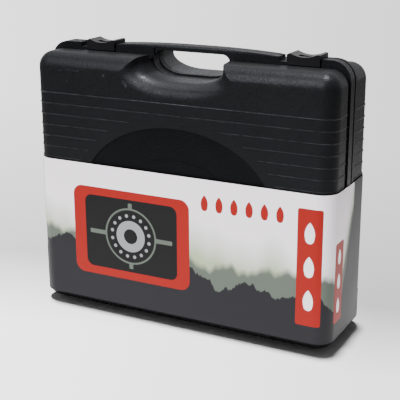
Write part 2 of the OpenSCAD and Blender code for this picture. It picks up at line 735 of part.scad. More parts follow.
// moulded hood over the valve, open behind and below
module control_panel() {
    color("#1d1d1f") in_case() difference() {
        slab_y(panel_outline(0), front_y, panel_y1);
        slab_y(panel_outline(2), front_y + 2, panel_y1 + 1);
        box([panel_x0 + 2, front_y + 2, body_foot], [panel_x1 - 2, panel_y1 + 1, body_foot + 8]);
        rod_y(cartridge_x, front_y - 1, front_y + 3, knob_z, 4);
        box([panel_x0 - 1, front_y + 12, body_foot], [panel_x0 + 3, panel_y1 + 1, 42]);
        box([lever_x - 1.5, front_y - 1, 33], [lever_x + 1.5, front_y + 3, 59]);
        for (i = [0:4]) box([panel_x0 + 14 + i * 12, front_y + 20, gas_side_top - 3],
            [panel_x0 + 18 + i * 12, panel_y1 - 8, gas_side_top + 1]);
    }
}

module piezo_igniter() {
    color("#e3e1da") in_case() {
        box([piezo_x - 6, front_y + 2, knob_z - 9], [piezo_x + 7, front_y + 12, knob_z + 9]);
        translate([piezo_x, front_y + 7.2, 12]) cylinder(r = 4.5, h = knob_z - 20);
    }
}

spark_at = [burner_x + 51, burner_y - 25];

module spark_electrode() {
    color("#efece4") in_case() translate([spark_at[0], spark_at[1], 34]) {
        cylinder(r = 3, h = 22);
        translate([0, 0, 21]) cylinder(r = 0.9, h = 6.4, $fn = 16);
        translate([0, 0, 26.5]) rotate([0, -90, -26]) cylinder(r = 0.8, h = 7, $fn = 16);
    }
}

// insulated lead from the igniter to the electrode, in straight runs with ball corners
wire_points = [[103, -111.8, 10.4], [95, -101, 9.6], [80, -94, 15], [58, -78, 10], [30, -50, 9.5],
    [10, -26, 12], [7, -19, 32.5]];

module ignition_wire() {
    color("#c9302c") in_case() for (i = [0:len(wire_points) - 2]) {
        p = wire_points[i];
        d = wire_points[i + 1] - p;
        translate(p) {
            rotate([0, acos(d[2] / norm(d)), atan2(d[1], d[0])]) cylinder(r = 1.1, h = norm(d), $fn = 16);
            sphere(r = 1.35, $fn = 16);
        }
    }
}

lever_x = 95;
lever_travel = 12;

// lever that works the cartridge cradle: a thumb tab in front of the panel, a blade behind it
module lock_lever() {
    color("#151517") in_case() {
        box([lever_x - 1.2, front_y - 1, 46], [lever_x + 1.2, front_y + 15, 58]);
        box([lever_x - 4.5, front_y - 8, 47], [lever_x + 4.5, front_y - 1, 57]);
        for (z = [49, 52, 55]) box([lever_x - 4.5, front_y - 8.8, z - 0.7], [lever_x + 4.5, front_y - 8, z + 0.7]);
        box([lever_x - 1.2, front_y + 11, 30], [lever_x + 1.2, front_y + 15, 46]);
    }
}

// bowed leaf that holds the lever at the ends of its slot
module detent_spring() {
    bow = arc(lever_x - 25.5, 38, 24, -41.8, 41.8);
    back = arc(lever_x - 25.5, 38, 23.5, 41.8, -41.8);
    color("silver") in_case() slab_y(concat(bow, back), front_y + 3, front_y + 9);
}

// sliding seat that pushes the cartridge onto the regulator
module cartridge_cradle() {
    seat_z = body_foot + sheet_t + 0.4;
    y0 = regulator_back + 8;
    y1 = back_y - 4;
    trough = concat(arc(cartridge_x, cartridge_z, cartridge_d / 2 + 1.4, 222, 318, 10),
        arc(cartridge_x, cartridge_z, cartridge_d / 2 + 0.4, 318, 222, 10));
    color("#b4b6b8") in_case() {
        slab_y(trough, y0, y1);
        for (x = [cartridge_x - 8, cartridge_x + 8])
            box([x - 3, y0, seat_z], [x + 3, y1, seat_z + 3.2]);
        box([cartridge_x - 24, y1 - 1.6, seat_z], [cartridge_x + 24, y1, knob_z + 6]);
    }
}

function cover_profile(inset) = concat(
    [[cover_axis_x + 0.6 - inset, cover_axis_z + 3.5 - inset]],
    arc(cover_axis_x + 0.6 - 26, gas_side_top - 26, 26 - inset, 0, 90, 12),
    arc(bay_left + 6, gas_side_top - 6, 6 - inset, 90, 180, 4),
    [[bay_left + inset, cover_axis_z + 3.5 - inset]]);

module cartridge_cover() {
    y0 = cover_front - 3;
    y1 = back_y - 1;
    color("#b5484a") in_case() difference() {
        union() {
            difference() {
                slab_y(cover_profile(0), y0, y1);
                slab_y(cover_profile(sheet_t), y0 - 1, y1 - sheet_t);
                box([bay_left - 1, y0 - 1, cover_axis_z - 10], [cover_axis_x - 4, y1 + 1, stove_top + 0.8]);
                box([bay_left, y0 - 1, cover_axis_z - 10], [cover_axis_x + 0.6 - sheet_t, y1 + 1, gas_side_top - 27]);
            }
            rod_y(cover_axis_x + 1.2, y0 + 30, y1 - 30, cover_axis_z, 2.6);
            box([cover_axis_x - 0.6, y0 + 30, cover_axis_z + 1.8], [cover_axis_x + 0.6, y1 - 30, cover_axis_z + 5]);
        }
        rod_y(cover_axis_x + 1.2, y0, y1, cover_axis_z, 1.2 + run_gap);
    }
}

module cover_hinge_pin() {
    color("silver") in_case()
        rod_y(cover_axis_x + 1.2, cover_front + 6, back_y - 10, cover_axis_z, 1.2);
}

module cover_hinge_leaf() {
    y0 = cover_front - 3;
    y1 = back_y - 1;
    color("silver") in_case() for (y = [y0 + 10, y1 - 29]) difference() {
        union() {
            rod_y(cover_axis_x + 1.2, y, y + 18, cover_axis_z, 2.6);
            box([stove_w / 2, y, cover_axis_z - 16], [stove_w / 2 + 1, y + 18, cover_axis_z]);
        }
        rod_y(cover_axis_x + 1.2, y - 1, y + 19, cover_axis_z, 1.2);
    }
}

case_front_shell();
case_rear_shell();
hinge_pins();
latch_left();
latch_right();
sleeve_front();
sleeve_rear();
stove_body();
base_plate();
rubber_feet();
base_screws();
heat_shield();
drip_tray();
pan_support_arms();
burner_head();
burner_cap();
burner_bracket();
burner_screws();
mixing_tube();
injector_jet();
gas_pipe();
regulator_body();
regulator_seal();
regulator_bracket();
valve_spindle();
igniter_cam();
control_knob();
control_panel();
piezo_igniter();
spark_electrode();
ignition_wire();
lock_lever();
detent_spring();
cartridge_cradle();
cartridge_cover();
cover_hinge_pin();
cover_hinge_leaf();
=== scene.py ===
import math

import bpy
from mathutils import Matrix, Vector


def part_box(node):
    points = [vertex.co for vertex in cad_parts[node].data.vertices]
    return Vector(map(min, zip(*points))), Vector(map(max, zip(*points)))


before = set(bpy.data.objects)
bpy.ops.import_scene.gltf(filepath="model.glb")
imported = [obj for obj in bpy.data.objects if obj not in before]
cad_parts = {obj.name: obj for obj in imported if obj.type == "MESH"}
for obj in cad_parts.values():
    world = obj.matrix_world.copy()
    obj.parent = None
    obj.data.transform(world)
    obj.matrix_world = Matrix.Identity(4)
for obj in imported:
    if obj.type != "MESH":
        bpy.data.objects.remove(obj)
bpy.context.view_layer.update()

# ---------------------------------------------------------------- camera
# A short telephoto, a little above the top of the case and to its right, so that the front,
# the rim with its catches and the right-hand end all show.
CAMERA_AT = (0.5010, -0.9542, 0.4743)
CAMERA_TO = (0.0156, -0.0225, 0.1466)
CAMERA_ROLL = math.radians(-0.25)
CAMERA_LENS = 87.03
SENSOR_MM = 36
NEAR_CLIP = 0.01

camera = bpy.data.objects.new("camera", bpy.data.cameras.new("camera"))
camera.data.lens = CAMERA_LENS
camera.data.sensor_width = SENSOR_MM
camera.data.clip_start = NEAR_CLIP
camera.location = CAMERA_AT
aim = (Vector(CAMERA_TO) - camera.location).to_track_quat("-Z", "Y")
camera.rotation_mode = "QUATERNION"
camera.rotation_quaternion = aim @ Matrix.Rotation(CAMERA_ROLL, 3, "Z").to_quaternion()
bpy.context.scene.collection.objects.link(camera)
bpy.context.scene.camera = camera


# ---------------------------------------------------------------- studio
# A matt white table in a pale room, under one hard light straight overhead and a soft box in
# front. The lens sees the table only where the contact shadow falls, and the room's painted
# backdrop elsewhere, so that a lid let down past the table's edge still shows.
def linear(hex_colour):
    """sRGB hex to linear RGBA"""
    channels = [int(hex_colour[i:i + 2], 16) / 255 for i in (1, 3, 5)]
    return [c / 12.92 if c <= 0.04045 else ((c + 0.055) / 1.055) ** 2.4 for c in channels] + [1]


def add_node(tree, kind, settings=None, **inputs):
    """adds one shader node; an input, by name or as in0, in1, takes a value or a socket"""
    made = tree.nodes.new(kind)
    for name, value in (settings or {}).items():
        setattr(made, name, value)
    for name, value in inputs.items():
        key = int(name[2:]) if name[2:].isdigit() else name.replace("_", " ")
        if isinstance(value, bpy.types.NodeSocket):
            tree.links.new(value, made.inputs[key])
        else:
            made.inputs[key].default_value = value
    return made


# the backdrop is one sheet of neutral paper: a lit floor, the shaded bend behind it and the
# wall above, each a share of the way up and of the light; towards the right the bend lies
# lower and the light falls off
PAPER = ((0.25, 0.8), (0.4, 0.35), (0.75, 0.5))
BEND_DROP = 0.15
LIGHT_LEFT = 4.4
LIGHT_RIGHT = 3.0
# heights of a ray's direction between which the backdrop runs, and its left and right sides
BACKDROP_LOW = -0.5
BACKDROP_TOP = -0.08
BACKDROP_SIDES = (-0.64, -0.26)
# the room as mirrored in the object, dim before it and bright behind, and as soft light
FRONT_LIGHT = 0.15
BACK_LIGHT = 1.2
ROOM_TURN = (-0.2, 0.5)
SOFT_LIGHT = 0.15
ROOM_WHITE = "#F2F2F4"
TABLE_WHITE = "#F0EFED"
# painted shade: the grey that the table's paint darkens to outside the painted pool of light
TABLE_FAR_PAINTED_SHADE = "#4A4A49"
TABLE_ROUGHNESS = 0.9
POOL_RADIUS = 0.45
POOL_END = 1.0
# left, front, right and back edge
WIDE_TABLE = (-4, -4, 4, 4)
NEAR_TABLE = (-0.3, -0.15, 0.3, 0.15)
TABLE_DROP = 0.0005
OVERHEAD_LIGHT = 9.0
OVERHEAD_DEG = 3.0
OVERHEAD_WAY = (0.035, -0.025, -1)
SOFT_BOX_AT = (-0.6, -2.0, 1.9)
SOFT_BOX_TO = (0, 0, 0.18)
SOFT_BOX_SIDE = 1.6
SOFT_BOX_WATTS = 142

world = bpy.data.worlds.new("pale studio room")
bpy.context.scene.world = world
world.use_nodes = True
room = world.node_tree
room.nodes.clear()
ray = add_node(room, "ShaderNodeTexCoord")
way = add_node(room, "ShaderNodeSeparateXYZ", Vector=ray.outputs["Generated"])
upward = add_node(room, "ShaderNodeMapRange", Value=way.outputs["Z"], in1=BACKDROP_LOW,
                  in2=BACKDROP_TOP)
side = add_node(room, "ShaderNodeMapRange", Value=way.outputs["X"], in1=BACKDROP_SIDES[0],
                in2=BACKDROP_SIDES[1])
across = add_node(room, "ShaderNodeMath", {"operation": "MULTIPLY_ADD"}, in0=side.outputs[0],
                  in1=BEND_DROP, in2=upward.outputs[0])
paper = add_node(room, "ShaderNodeValToRGB", Fac=across.outputs[0])
paper.color_ramp.elements.new(0.5)
for stop, (position, grey) in zip(paper.color_ramp.elements, PAPER):
    stop.position = position
    stop.color = (grey, grey, grey, 1)
fall_off = add_node(room, "ShaderNodeMapRange", Value=side.outputs[0], in3=LIGHT_LEFT,
                    in4=LIGHT_RIGHT)
seen = add_node(room, "ShaderNodeBackground", Color=paper.outputs[0],
                Strength=fall_off.outputs[0])
depth = add_node(room, "ShaderNodeMapRange", {"interpolation_type": "SMOOTHSTEP"},
                 Value=way.outputs["Y"], in1=ROOM_TURN[0], in2=ROOM_TURN[1],
                 in3=FRONT_LIGHT, in4=BACK_LIGHT)
mirrored = add_node(room, "ShaderNodeBackground", Color=linear(ROOM_WHITE),
                    Strength=depth.outputs[0])
soft = add_node(room, "ShaderNodeBackground", Color=linear(ROOM_WHITE), Strength=SOFT_LIGHT)
path = add_node(room, "ShaderNodeLightPath")
lit = add_node(room, "ShaderNodeMixShader", in0=path.outputs["Is Glossy Ray"],
               in1=soft.outputs[0], in2=mirrored.outputs[0])
pick = add_node(room, "ShaderNodeMixShader", in0=path.outputs["Is Camera Ray"],
                in1=lit.outputs[0], in2=seen.outputs[0])
add_node(room, "ShaderNodeOutputWorld", Surface=pick.outputs[0])

# matt paint sends light back up evenly; a pool of light round the case is painted on it, the paint
# darkening beyond it
matt_table = bpy.data.materials.new("matt white table")
matt_table.use_nodes = True
table_tree = matt_table.node_tree
paint = table_tree.nodes["Principled BSDF"]
paint.inputs["Roughness"].default_value = TABLE_ROUGHNESS
ground = add_node(table_tree, "ShaderNodeTexCoord")
spread = add_node(table_tree, "ShaderNodeVectorMath", {"operation": "LENGTH"},
                  in0=ground.outputs["Object"])
pool = add_node(table_tree, "ShaderNodeMapRange", Value=spread.outputs["Value"],
                in1=POOL_RADIUS, in2=POOL_END)
shade = add_node(table_tree, "ShaderNodeMix", {"data_type": "RGBA"}, in0=pool.outputs[0],
                 in6=linear(TABLE_WHITE), in7=linear(TABLE_FAR_PAINTED_SHADE))
table_tree.links.new(shade.outputs[2], paint.inputs["Base Color"])

# the wide table lights the case from below unseen, and a near patch of it takes the shadow
not_table = bpy.data.collections.new("all but the table")
for name, (left, front, right, back), level in (("table", WIDE_TABLE, -TABLE_DROP),
                                                ("table_shadow", NEAR_TABLE, 0)):
    sheet = bpy.data.meshes.new(name)
    sheet.from_pydata([(left, front, level), (right, front, level), (right, back, level),
                       (left, back, level)], [], [(0, 1, 2, 3)])
    sheet.materials.append(matt_table)
    table = bpy.data.objects.new(name, sheet)
    bpy.context.scene.collection.objects.link(table)
    if name == "table":
        table.visible_camera = False
        table.visible_shadow = False
    else:
        table.is_shadow_catcher = True
    not_table.objects.link(table)
# the soft box lights everything that this collection doesn't exclude
for entry in not_table.collection_objects:
    entry.light_linking.link_state = "EXCLUDE"

overhead = bpy.data.objects.new("overhead", bpy.data.lights.new("overhead", "SUN"))
overhead.data.energy = OVERHEAD_LIGHT
overhead.data.angle = math.radians(OVERHEAD_DEG)
overhead.rotation_mode = "QUATERNION"
overhead.rotation_quaternion = Vector(OVERHEAD_WAY).to_track_quat("-Z", "Y")
bpy.context.scene.collection.objects.link(overhead)

soft_box = bpy.data.objects.new("front soft box", bpy.data.lights.new("front soft box", "AREA"))
soft_box.data.shape = "SQUARE"
soft_box.data.size = SOFT_BOX_SIDE
soft_box.data.energy = SOFT_BOX_WATTS
soft_box.location = SOFT_BOX_AT
soft_box.rotation_mode = "QUATERNION"
box_aim = (Vector(SOFT_BOX_TO) - Vector(SOFT_BOX_AT)).to_track_quat("-Z", "Y")
soft_box.rotation_quaternion = box_aim
soft_box.light_linking.receiver_collection = not_table
bpy.context.scene.collection.objects.link(soft_box)

# ---------------------------------------------------------------- carry case shells
# The two halves of the case: black polyethylene, blow-moulded as double skins, with sunk
# ovals and raised ribs. The mould's fine blasted grain gives a soft satin, not a gloss.
MM = 0.001
CASE_BLACK = "#0D0D0E"
CASE_RUBBED = "#131315"
OVAL_BLACK = "#020203"
# the pale grey of the scuffs, also used for the painted highlights
SCUFF_AND_HIGHLIGHT_GREY = "#4A4C50"
SHEEN_BLUE = "#EBF0FB"
CASE_SHINE = 0.11
# heights above the table and half sizes, in millimetres
OVAL_HEIGHT = 150
OVAL_HALF = (119, 84)
OVAL_EDGE = 0.012
RIBS_TOP = 266
HOLE_FLOOR = 284
HOLE_HALF = (56, 7)
HOLE_EDGE = 0.1
# strengths of the painted highlights on the finger hole's floor and the ribs' upper edges, then
# the size and top of the noise that breaks them and the scuffs into patches
HOLE_PAINTED_HIGHLIGHT = 0.1
RIB_PAINTED_HIGHLIGHT = 0.38
SCUFF_AND_HIGHLIGHT_MM = 7
SCUFF_AND_HIGHLIGHT_NOISE_HIGH = 0.75
SCUFF_EDGE = 0.45
# how far up a surface has to face before it takes the painted highlight, a little and fully
PAINTED_LIGHT_FROM = 0.12
PAINTED_LIGHT_FULLY = 0.4
# each scuff: place across and up, half size, strength
SCUFFS = (((-147, 288), (3, 0.8), 0.3), ((-137, 289), (4, 0.6), 0.22),
          ((-126, 288.5), (4, 0.7), 0.32), ((-89, 286), (1.6, 1.6), 0.4),
          ((-64, 281), (1.2, 2.6), 0.4), ((-62, 279), (1.2, 2.4), 0.4),
          ((-60, 277), (1.2, 2.4), 0.45), ((-139, 276), (2, 1), 0.15))
GRAIN_MM = 2.4  # the mould grain is about 1 mm, drawn coarser so that it breaks up the light
GRAIN_DEPTH_MM = 0.55
# any moulded plastic: width of the clouds in its colour, depth of the waves in its skin, and
# how far the grain takes its roughness up and down
CLOUD_MM = 60
WAVE_DEPTH_MM = 1.2
MOTTLE = 0.1
PLASTIC_IOR = 1.5
# nearly all the values of a noise lie between these two
NOISE_LOW = 0.3
NOISE_HIGH = 0.7
# facets that meet at less than this angle are shaded as one smooth skin
SOFT_EDGE_DEG = 34
WELD_MM = 0.002
FLAT_FACE_WEIGHT = 80


def new_material(name):
    """an empty node material with the principled shader joined to its output"""
    made = bpy.data.materials.new(name)
    made.use_nodes = True
    tree = made.node_tree
    tree.nodes.clear()
    shader = add_node(tree, "ShaderNodeBsdfPrincipled")
    add_node(tree, "ShaderNodeOutputMaterial", Surface=shader.outputs[0])
    return made, tree, shader


def per_mm(size_mm):
    """scale of a pattern whose feature is size_mm wide, on coordinates in metres"""
    return 1 / (size_mm * MM)


def moulded_plastic(name, colour, rubbed, roughness, grain_mm, grain_depth_mm, wave_mm=40):
    """moulded plastic: fine mould grain, slow waves in the skin and faint clouds in its colour"""
    made, tree, shader = new_material(name)
    at = add_node(tree, "ShaderNodeTexCoord").outputs["Object"]
    cloud = add_node(tree, "ShaderNodeTexNoise", Vector=at, Scale=per_mm(CLOUD_MM), Detail=5.0)
    tone = add_node(tree, "ShaderNodeMix", {"data_type": "RGBA"}, in0=cloud.outputs["Fac"],
                    in6=linear(colour), in7=linear(rubbed))
    grain = add_node(tree, "ShaderNodeTexNoise", Vector=at, Scale=per_mm(grain_mm), Detail=2.0)
    sheen = add_node(tree, "ShaderNodeMapRange", Value=grain.outputs["Fac"], in1=NOISE_LOW,
                     in2=NOISE_HIGH, in3=roughness - MOTTLE, in4=roughness + MOTTLE)
    wave = add_node(tree, "ShaderNodeTexNoise", Vector=at, Scale=per_mm(wave_mm), Detail=1.0)
    fine = add_node(tree, "ShaderNodeBump", Height=grain.outputs["Fac"], Strength=0.5,
                    Distance=grain_depth_mm * MM)
    slow = add_node(tree, "ShaderNodeBump", Height=wave.outputs["Fac"], Strength=0.6,
                    Distance=WAVE_DEPTH_MM * MM, Normal=fine.outputs[0])
    tree.links.new(tone.outputs[2], shader.inputs["Base Color"])
    tree.links.new(sheen.outputs[0], shader.inputs["Roughness"])
    tree.links.new(slow.outputs[0], shader.inputs["Normal"])
    shader.inputs["IOR"].default_value = PLASTIC_IOR
    return made


def dress(node_name, material):
    """gives a CAD node its material and smooth shading across its shallow facets"""
    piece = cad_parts[node_name]
    mesh = piece.data
    if "custom_normal" in mesh.attributes:
        mesh.attributes.remove(mesh.attributes["custom_normal"])
    mesh.shade_smooth()
    weld = piece.modifiers.new("weld", "WELD")
    weld.merge_threshold = WELD_MM * MM
    split = piece.modifiers.new("split", "EDGE_SPLIT")
    split.split_angle = math.radians(SOFT_EDGE_DEG)
    level = piece.modifiers.new("level", "WEIGHTED_NORMAL")
    level.weight = FLAT_FACE_WEIGHT
    mesh.materials.clear()
    mesh.materials.append(material)


# polyethylene is waxy: a weak, cool, broad highlight that the mould grain mottles
case_plastic = moulded_plastic("blow moulded black polyethylene", CASE_BLACK, CASE_RUBBED,
                               roughness=0.43, grain_mm=GRAIN_MM, grain_depth_mm=GRAIN_DEPTH_MM)
case_tree = case_plastic.node_tree
case_shader = case_tree.nodes["Principled BSDF"]
case_at = add_node(case_tree, "ShaderNodeTexCoord").outputs["Object"]
case_place = add_node(case_tree, "ShaderNodeSeparateXYZ", Vector=case_at)


def case_spot(centre_mm, half_mm, soft):
    """1 inside an oval seen from the front or back, 0 outside, its edge soft by a share"""
    offset = add_node(case_tree, "ShaderNodeVectorMath", {"operation": "SUBTRACT"}, in0=case_at,
                      in1=(centre_mm[0] * MM, 0, centre_mm[1] * MM))
    shrunk = add_node(case_tree, "ShaderNodeVectorMath", {"operation": "MULTIPLY"},
                      in0=offset.outputs[0], in1=(per_mm(half_mm[0]), 0, per_mm(half_mm[1])))
    reach = add_node(case_tree, "ShaderNodeVectorMath", {"operation": "LENGTH"},
                     in0=shrunk.outputs[0])
    return add_node(case_tree, "ShaderNodeMapRange", Value=reach.outputs["Value"],
                    in1=1 + soft, in2=1 - soft).outputs[0]


def case_coat(mask, strength, colour):
    """lays a colour over part of the case's own, at some strength"""
    cover = add_node(case_tree, "ShaderNodeMath", {"operation": "MULTIPLY"}, in0=mask,
                     in1=strength)
    under = case_shader.inputs["Base Color"].links[0].from_socket
    tone = add_node(case_tree, "ShaderNodeMix", {"data_type": "RGBA"}, in0=cover.outputs[0],
                    in6=under, in7=linear(colour))
    case_tree.links.new(tone.outputs[2], case_shader.inputs["Base Color"])


case_shader.inputs["Specular IOR Level"].default_value = CASE_SHINE
case_shader.inputs["Specular Tint"].default_value = linear(SHEEN_BLUE)

# the sunk oval is painted a deeper black than the face round it
case_coat(case_spot((0, OVAL_HEIGHT), OVAL_HALF, OVAL_EDGE), 1.0, OVAL_BLACK)

# painted highlight: below the top rib, faces that turn up, chiefly the ribs' upper edges, are
# painted pale in patches, as if lit from above
slope = add_node(case_tree, "ShaderNodeSeparateXYZ",
                 Vector=add_node(case_tree, "ShaderNodeNewGeometry").outputs["Normal"])
upper = add_node(case_tree, "ShaderNodeMapRange", Value=slope.outputs["Z"],
                 in1=PAINTED_LIGHT_FROM, in2=PAINTED_LIGHT_FULLY)
ribbed = add_node(case_tree, "ShaderNodeMath", {"operation": "LESS_THAN"},
                  in0=case_place.outputs["Z"], in1=RIBS_TOP * MM)
scuff_and_highlight_noise = add_node(case_tree, "ShaderNodeTexNoise", Vector=case_at, Scale=per_mm(SCUFF_AND_HIGHLIGHT_MM),
                Detail=6.0)
scuff_and_highlight_patches = add_node(case_tree, "ShaderNodeMapRange", Value=scuff_and_highlight_noise.outputs["Fac"], in1=NOISE_LOW,
                in2=SCUFF_AND_HIGHLIGHT_NOISE_HIGH)
rib_highlight = add_node(case_tree, "ShaderNodeMath", {"operation": "MULTIPLY"}, in0=upper.outputs[0],
               in1=ribbed.outputs[0])
rib_highlight = add_node(case_tree, "ShaderNodeMath", {"operation": "MULTIPLY"}, in0=rib_highlight.outputs[0],
               in1=scuff_and_highlight_patches.outputs[0])
case_coat(rib_highlight.outputs[0], RIB_PAINTED_HIGHLIGHT, SCUFF_AND_HIGHLIGHT_GREY)

# painted highlight: where the finger hole's floor faces up it is painted pale, as if lit from
# above
hole_floor_highlight = add_node(case_tree, "ShaderNodeMath", {"operation": "MULTIPLY"}, in0=upper.outputs[0],
                      in1=case_spot((0, HOLE_FLOOR), HOLE_HALF, HOLE_EDGE))
case_coat(hole_floor_highlight.outputs[0], HOLE_PAINTED_HIGHLIGHT, SCUFF_AND_HIGHLIGHT_GREY)

# a few pale, ragged scuffs near the top of the case, to the left as seen from the front
for centre, half, strength in SCUFFS:
    ragged = add_node(case_tree, "ShaderNodeMath", {"operation": "MULTIPLY"}, in0=scuff_and_highlight_patches.outputs[0],
                      in1=case_spot(centre, half, SCUFF_EDGE))
    case_coat(ragged.outputs[0], strength, SCUFF_AND_HIGHLIGHT_GREY)
for name in ("case_front_shell", "case_rear_shell"):
    dress(name, case_plastic)

# ---------------------------------------------------------------- hinge pins and catches
# Two sliding catches of harder, slightly glossier black plastic hook the halves together
# along the rim, and two plated steel pins join the knuckles under the case.
CATCH_BLACK = "#0D0D0F"
CATCH_RUBBED = "#141416"
CATCH_SHINE = 0.2
PLATED_STEEL = "#B9BBBD"
PLATED_DULL = "#9FA0A0"
# any metal: width of the tarnish clouds, and how far a streak takes the roughness down and up
TARNISH_MM = 14
STREAK_SHINE = 0.07
STREAK_DULL = 0.09

# the harder plastic takes a tighter highlight than the case, so the catches read as separate
catch_plastic = moulded_plastic("injection moulded black polypropylene", CATCH_BLACK,
                                CATCH_RUBBED, roughness=0.34, grain_mm=0.4,
                                grain_depth_mm=0.02, wave_mm=25)
catch_shader = catch_plastic.node_tree.nodes["Principled BSDF"]
catch_shader.inputs["Specular IOR Level"].default_value = CATCH_SHINE
for name in ("latch_left", "latch_right"):
    dress(name, catch_plastic)


def metal(name, colour, dull, roughness, streak_mm, streak_depth_mm, across=(1, 1, 1)):
    """bare or plated metal: a tarnish cloud on its colour, and marks of drawing or rolling

    The marks are drawn some ten times coarser than real ones, so that they show, and are
    squeezed by the numbers given across x, y and z.
    """
    made, tree, shader = new_material(name)
    at = add_node(tree, "ShaderNodeTexCoord").outputs["Object"]
    along = add_node(tree, "ShaderNodeMapping", Vector=at, Scale=across)
    streak = add_node(tree, "ShaderNodeTexNoise", Vector=along.outputs[0],
                      Scale=per_mm(streak_mm), Detail=3.0)
    cloud = add_node(tree, "ShaderNodeTexNoise", Vector=at, Scale=per_mm(TARNISH_MM),
                     Detail=4.0)
    tone = add_node(tree, "ShaderNodeMix", {"data_type": "RGBA"}, in0=cloud.outputs["Fac"],
                    in6=linear(colour), in7=linear(dull))
    rough = add_node(tree, "ShaderNodeMapRange", Value=streak.outputs["Fac"],
                     in3=roughness - STREAK_SHINE, in4=roughness + STREAK_DULL)
    marks = add_node(tree, "ShaderNodeBump", Height=streak.outputs["Fac"], Strength=0.5,
                     Distance=streak_depth_mm * MM)
    tree.links.new(tone.outputs[2], shader.inputs["Base Color"])
    tree.links.new(rough.outputs[0], shader.inputs["Roughness"])
    tree.links.new(marks.outputs[0], shader.inputs["Normal"])
    shader.inputs["Metallic"].default_value = 1.0
    return made


# bright zinc is pale and slightly blue, with drawing marks that run along the pin
plated_steel = metal("bright zinc plated steel", PLATED_STEEL, PLATED_DULL, roughness=0.3,
                     streak_mm=0.7, streak_depth_mm=0.01, across=(1, 6, 6))
dress("hinge_pins", plated_steel)

# ---------------------------------------------------------------- printed card sleeve
# A loop of white folding boxboard, 0.6 mm thick, printed on its outside and given a clear
# water-based varnish; its cut edges stay plain white board. The print is flat colour: misty
# hills, a burner seen from above, a row of flames and two bands with pale flames.
CARD_WHITE = "#F4EDF4"
BOARD_EDGE = "#D9D5CF"
PRINT_RED = "#8E1812"
PRINT_SLATE = "#1F1F23"
PRINT_BLACK = "#101012"
PRINT_STEEL = "#87888C"
MIST_GREEN = "#A0AC8F"
HILL_GREY = "#565E56"
CARD_SHINE = 0.15
VARNISH = (0.42, 0.54)
# where the right-hand end and the front of the sleeve stand, in millimetres
SLEEVE_X = 186.8
SLEEVE_Y = -55.5
INK_EDGE_MM = 0.3
FIBRE_MM = 1.1  # real card fibres are a tenth of this, drawn coarser so that they show
FIBRE_DEPTH_MM = 0.02
BUCKLE_MM = 90
BUCKLE_DEPTH_MM = 3.0
# the hills lean down to the right, and climb by END_RISE round the right-hand end
HILL_LEAN = -0.07
END_RISE = 95
RISE_ACROSS = (60.0, 180.0)
RISE_BACK = (-22.0, 14.0)

# flat inks under a thin satin varnish: even colour, with no glare from the soft box
card, inks, card_shader = new_material("varnished printed folding boxboard")
spot = add_node(inks, "ShaderNodeTexCoord").outputs["Object"]
spot_mm = add_node(inks, "ShaderNodeVectorMath", {"operation": "SCALE"}, in0=spot,
                   Scale=1 / MM)
sides = add_node(inks, "ShaderNodeSeparateXYZ", Vector=spot_mm.outputs[0])

# the back carries the same print as the front, turned half a turn about the upright axis
behind = add_node(inks, "ShaderNodeMath", {"operation": "GREATER_THAN"},
                  in0=sides.outputs["Y"], in1=0.0)
turned = add_node(inks, "ShaderNodeVectorMath", {"operation": "MULTIPLY"},
                  in0=spot_mm.outputs[0], in1=(-1, -1, 1))
place = add_node(inks, "ShaderNodeMix", {"data_type": "VECTOR"}, in0=behind.outputs[0],
                 in4=spot_mm.outputs[0], in5=turned.outputs[0]).outputs[1]


def inked(distance_mm, edge_mm=INK_EDGE_MM):
    """1 where the distance to a motif's edge is negative, 0 outside, with a slightly soft edge"""
    return add_node(inks, "ShaderNodeMapRange", Value=distance_mm,
                    in1=edge_mm / 2, in2=-edge_mm / 2).outputs[0]


def patch(centre, half, corner):
    """1 inside a block with rounded corners, which cuts the card in a rectangle"""
    offset = add_node(inks, "ShaderNodeVectorMath", {"operation": "SUBTRACT"}, in0=place,
                      in1=centre)
    folded = add_node(inks, "ShaderNodeVectorMath", {"operation": "ABSOLUTE"},
                      in0=offset.outputs[0])
    over = add_node(inks, "ShaderNodeVectorMath", {"operation": "SUBTRACT"}, in0=folded.outputs[0],
                    in1=[side - corner for side in half])
    outside = add_node(inks, "ShaderNodeVectorMath", {"operation": "MAXIMUM"}, in0=over.outputs[0],
                       in1=(0, 0, 0))
    reach = add_node(inks, "ShaderNodeVectorMath", {"operation": "LENGTH"}, in0=outside.outputs[0])
    return inked(add_node(inks, "ShaderNodeMath", {"operation": "SUBTRACT"},
                          in0=reach.outputs["Value"], in1=corner).outputs[0])


def from_point(centre, radius):
    """distance to the edge of a ball, which cuts the card in a disc"""
    reach = add_node(inks, "ShaderNodeVectorMath", {"operation": "DISTANCE"}, in0=place,
                     in1=centre)
    return add_node(inks, "ShaderNodeMath", {"operation": "SUBTRACT"},
                    in0=reach.outputs["Value"], in1=radius).outputs[0]


def ring(centre, radius, line):
    """1 on a circle drawn with a line of some width"""
    off = add_node(inks, "ShaderNodeMath", {"operation": "ABSOLUTE"},
                   in0=from_point(centre, radius))
    return inked(add_node(inks, "ShaderNodeMath", {"operation": "SUBTRACT"}, in0=off.outputs[0],
                          in1=line / 2).outputs[0])


def flame_ways(centre, shift):
    """the two shifts across the panel, front or end, that a flame is printed on"""
    across = Vector((0, shift, 0)) if centre[0] == SLEEVE_X else Vector((shift, 0, 0))
    return across, -across


# parts of a flame, as shares of its height
FLAME_CURVE = 0.85
FLAME_HALF_WIDTH = 0.26
FOOT_DROP = 0.24
FOOT_RADIUS = 0.225


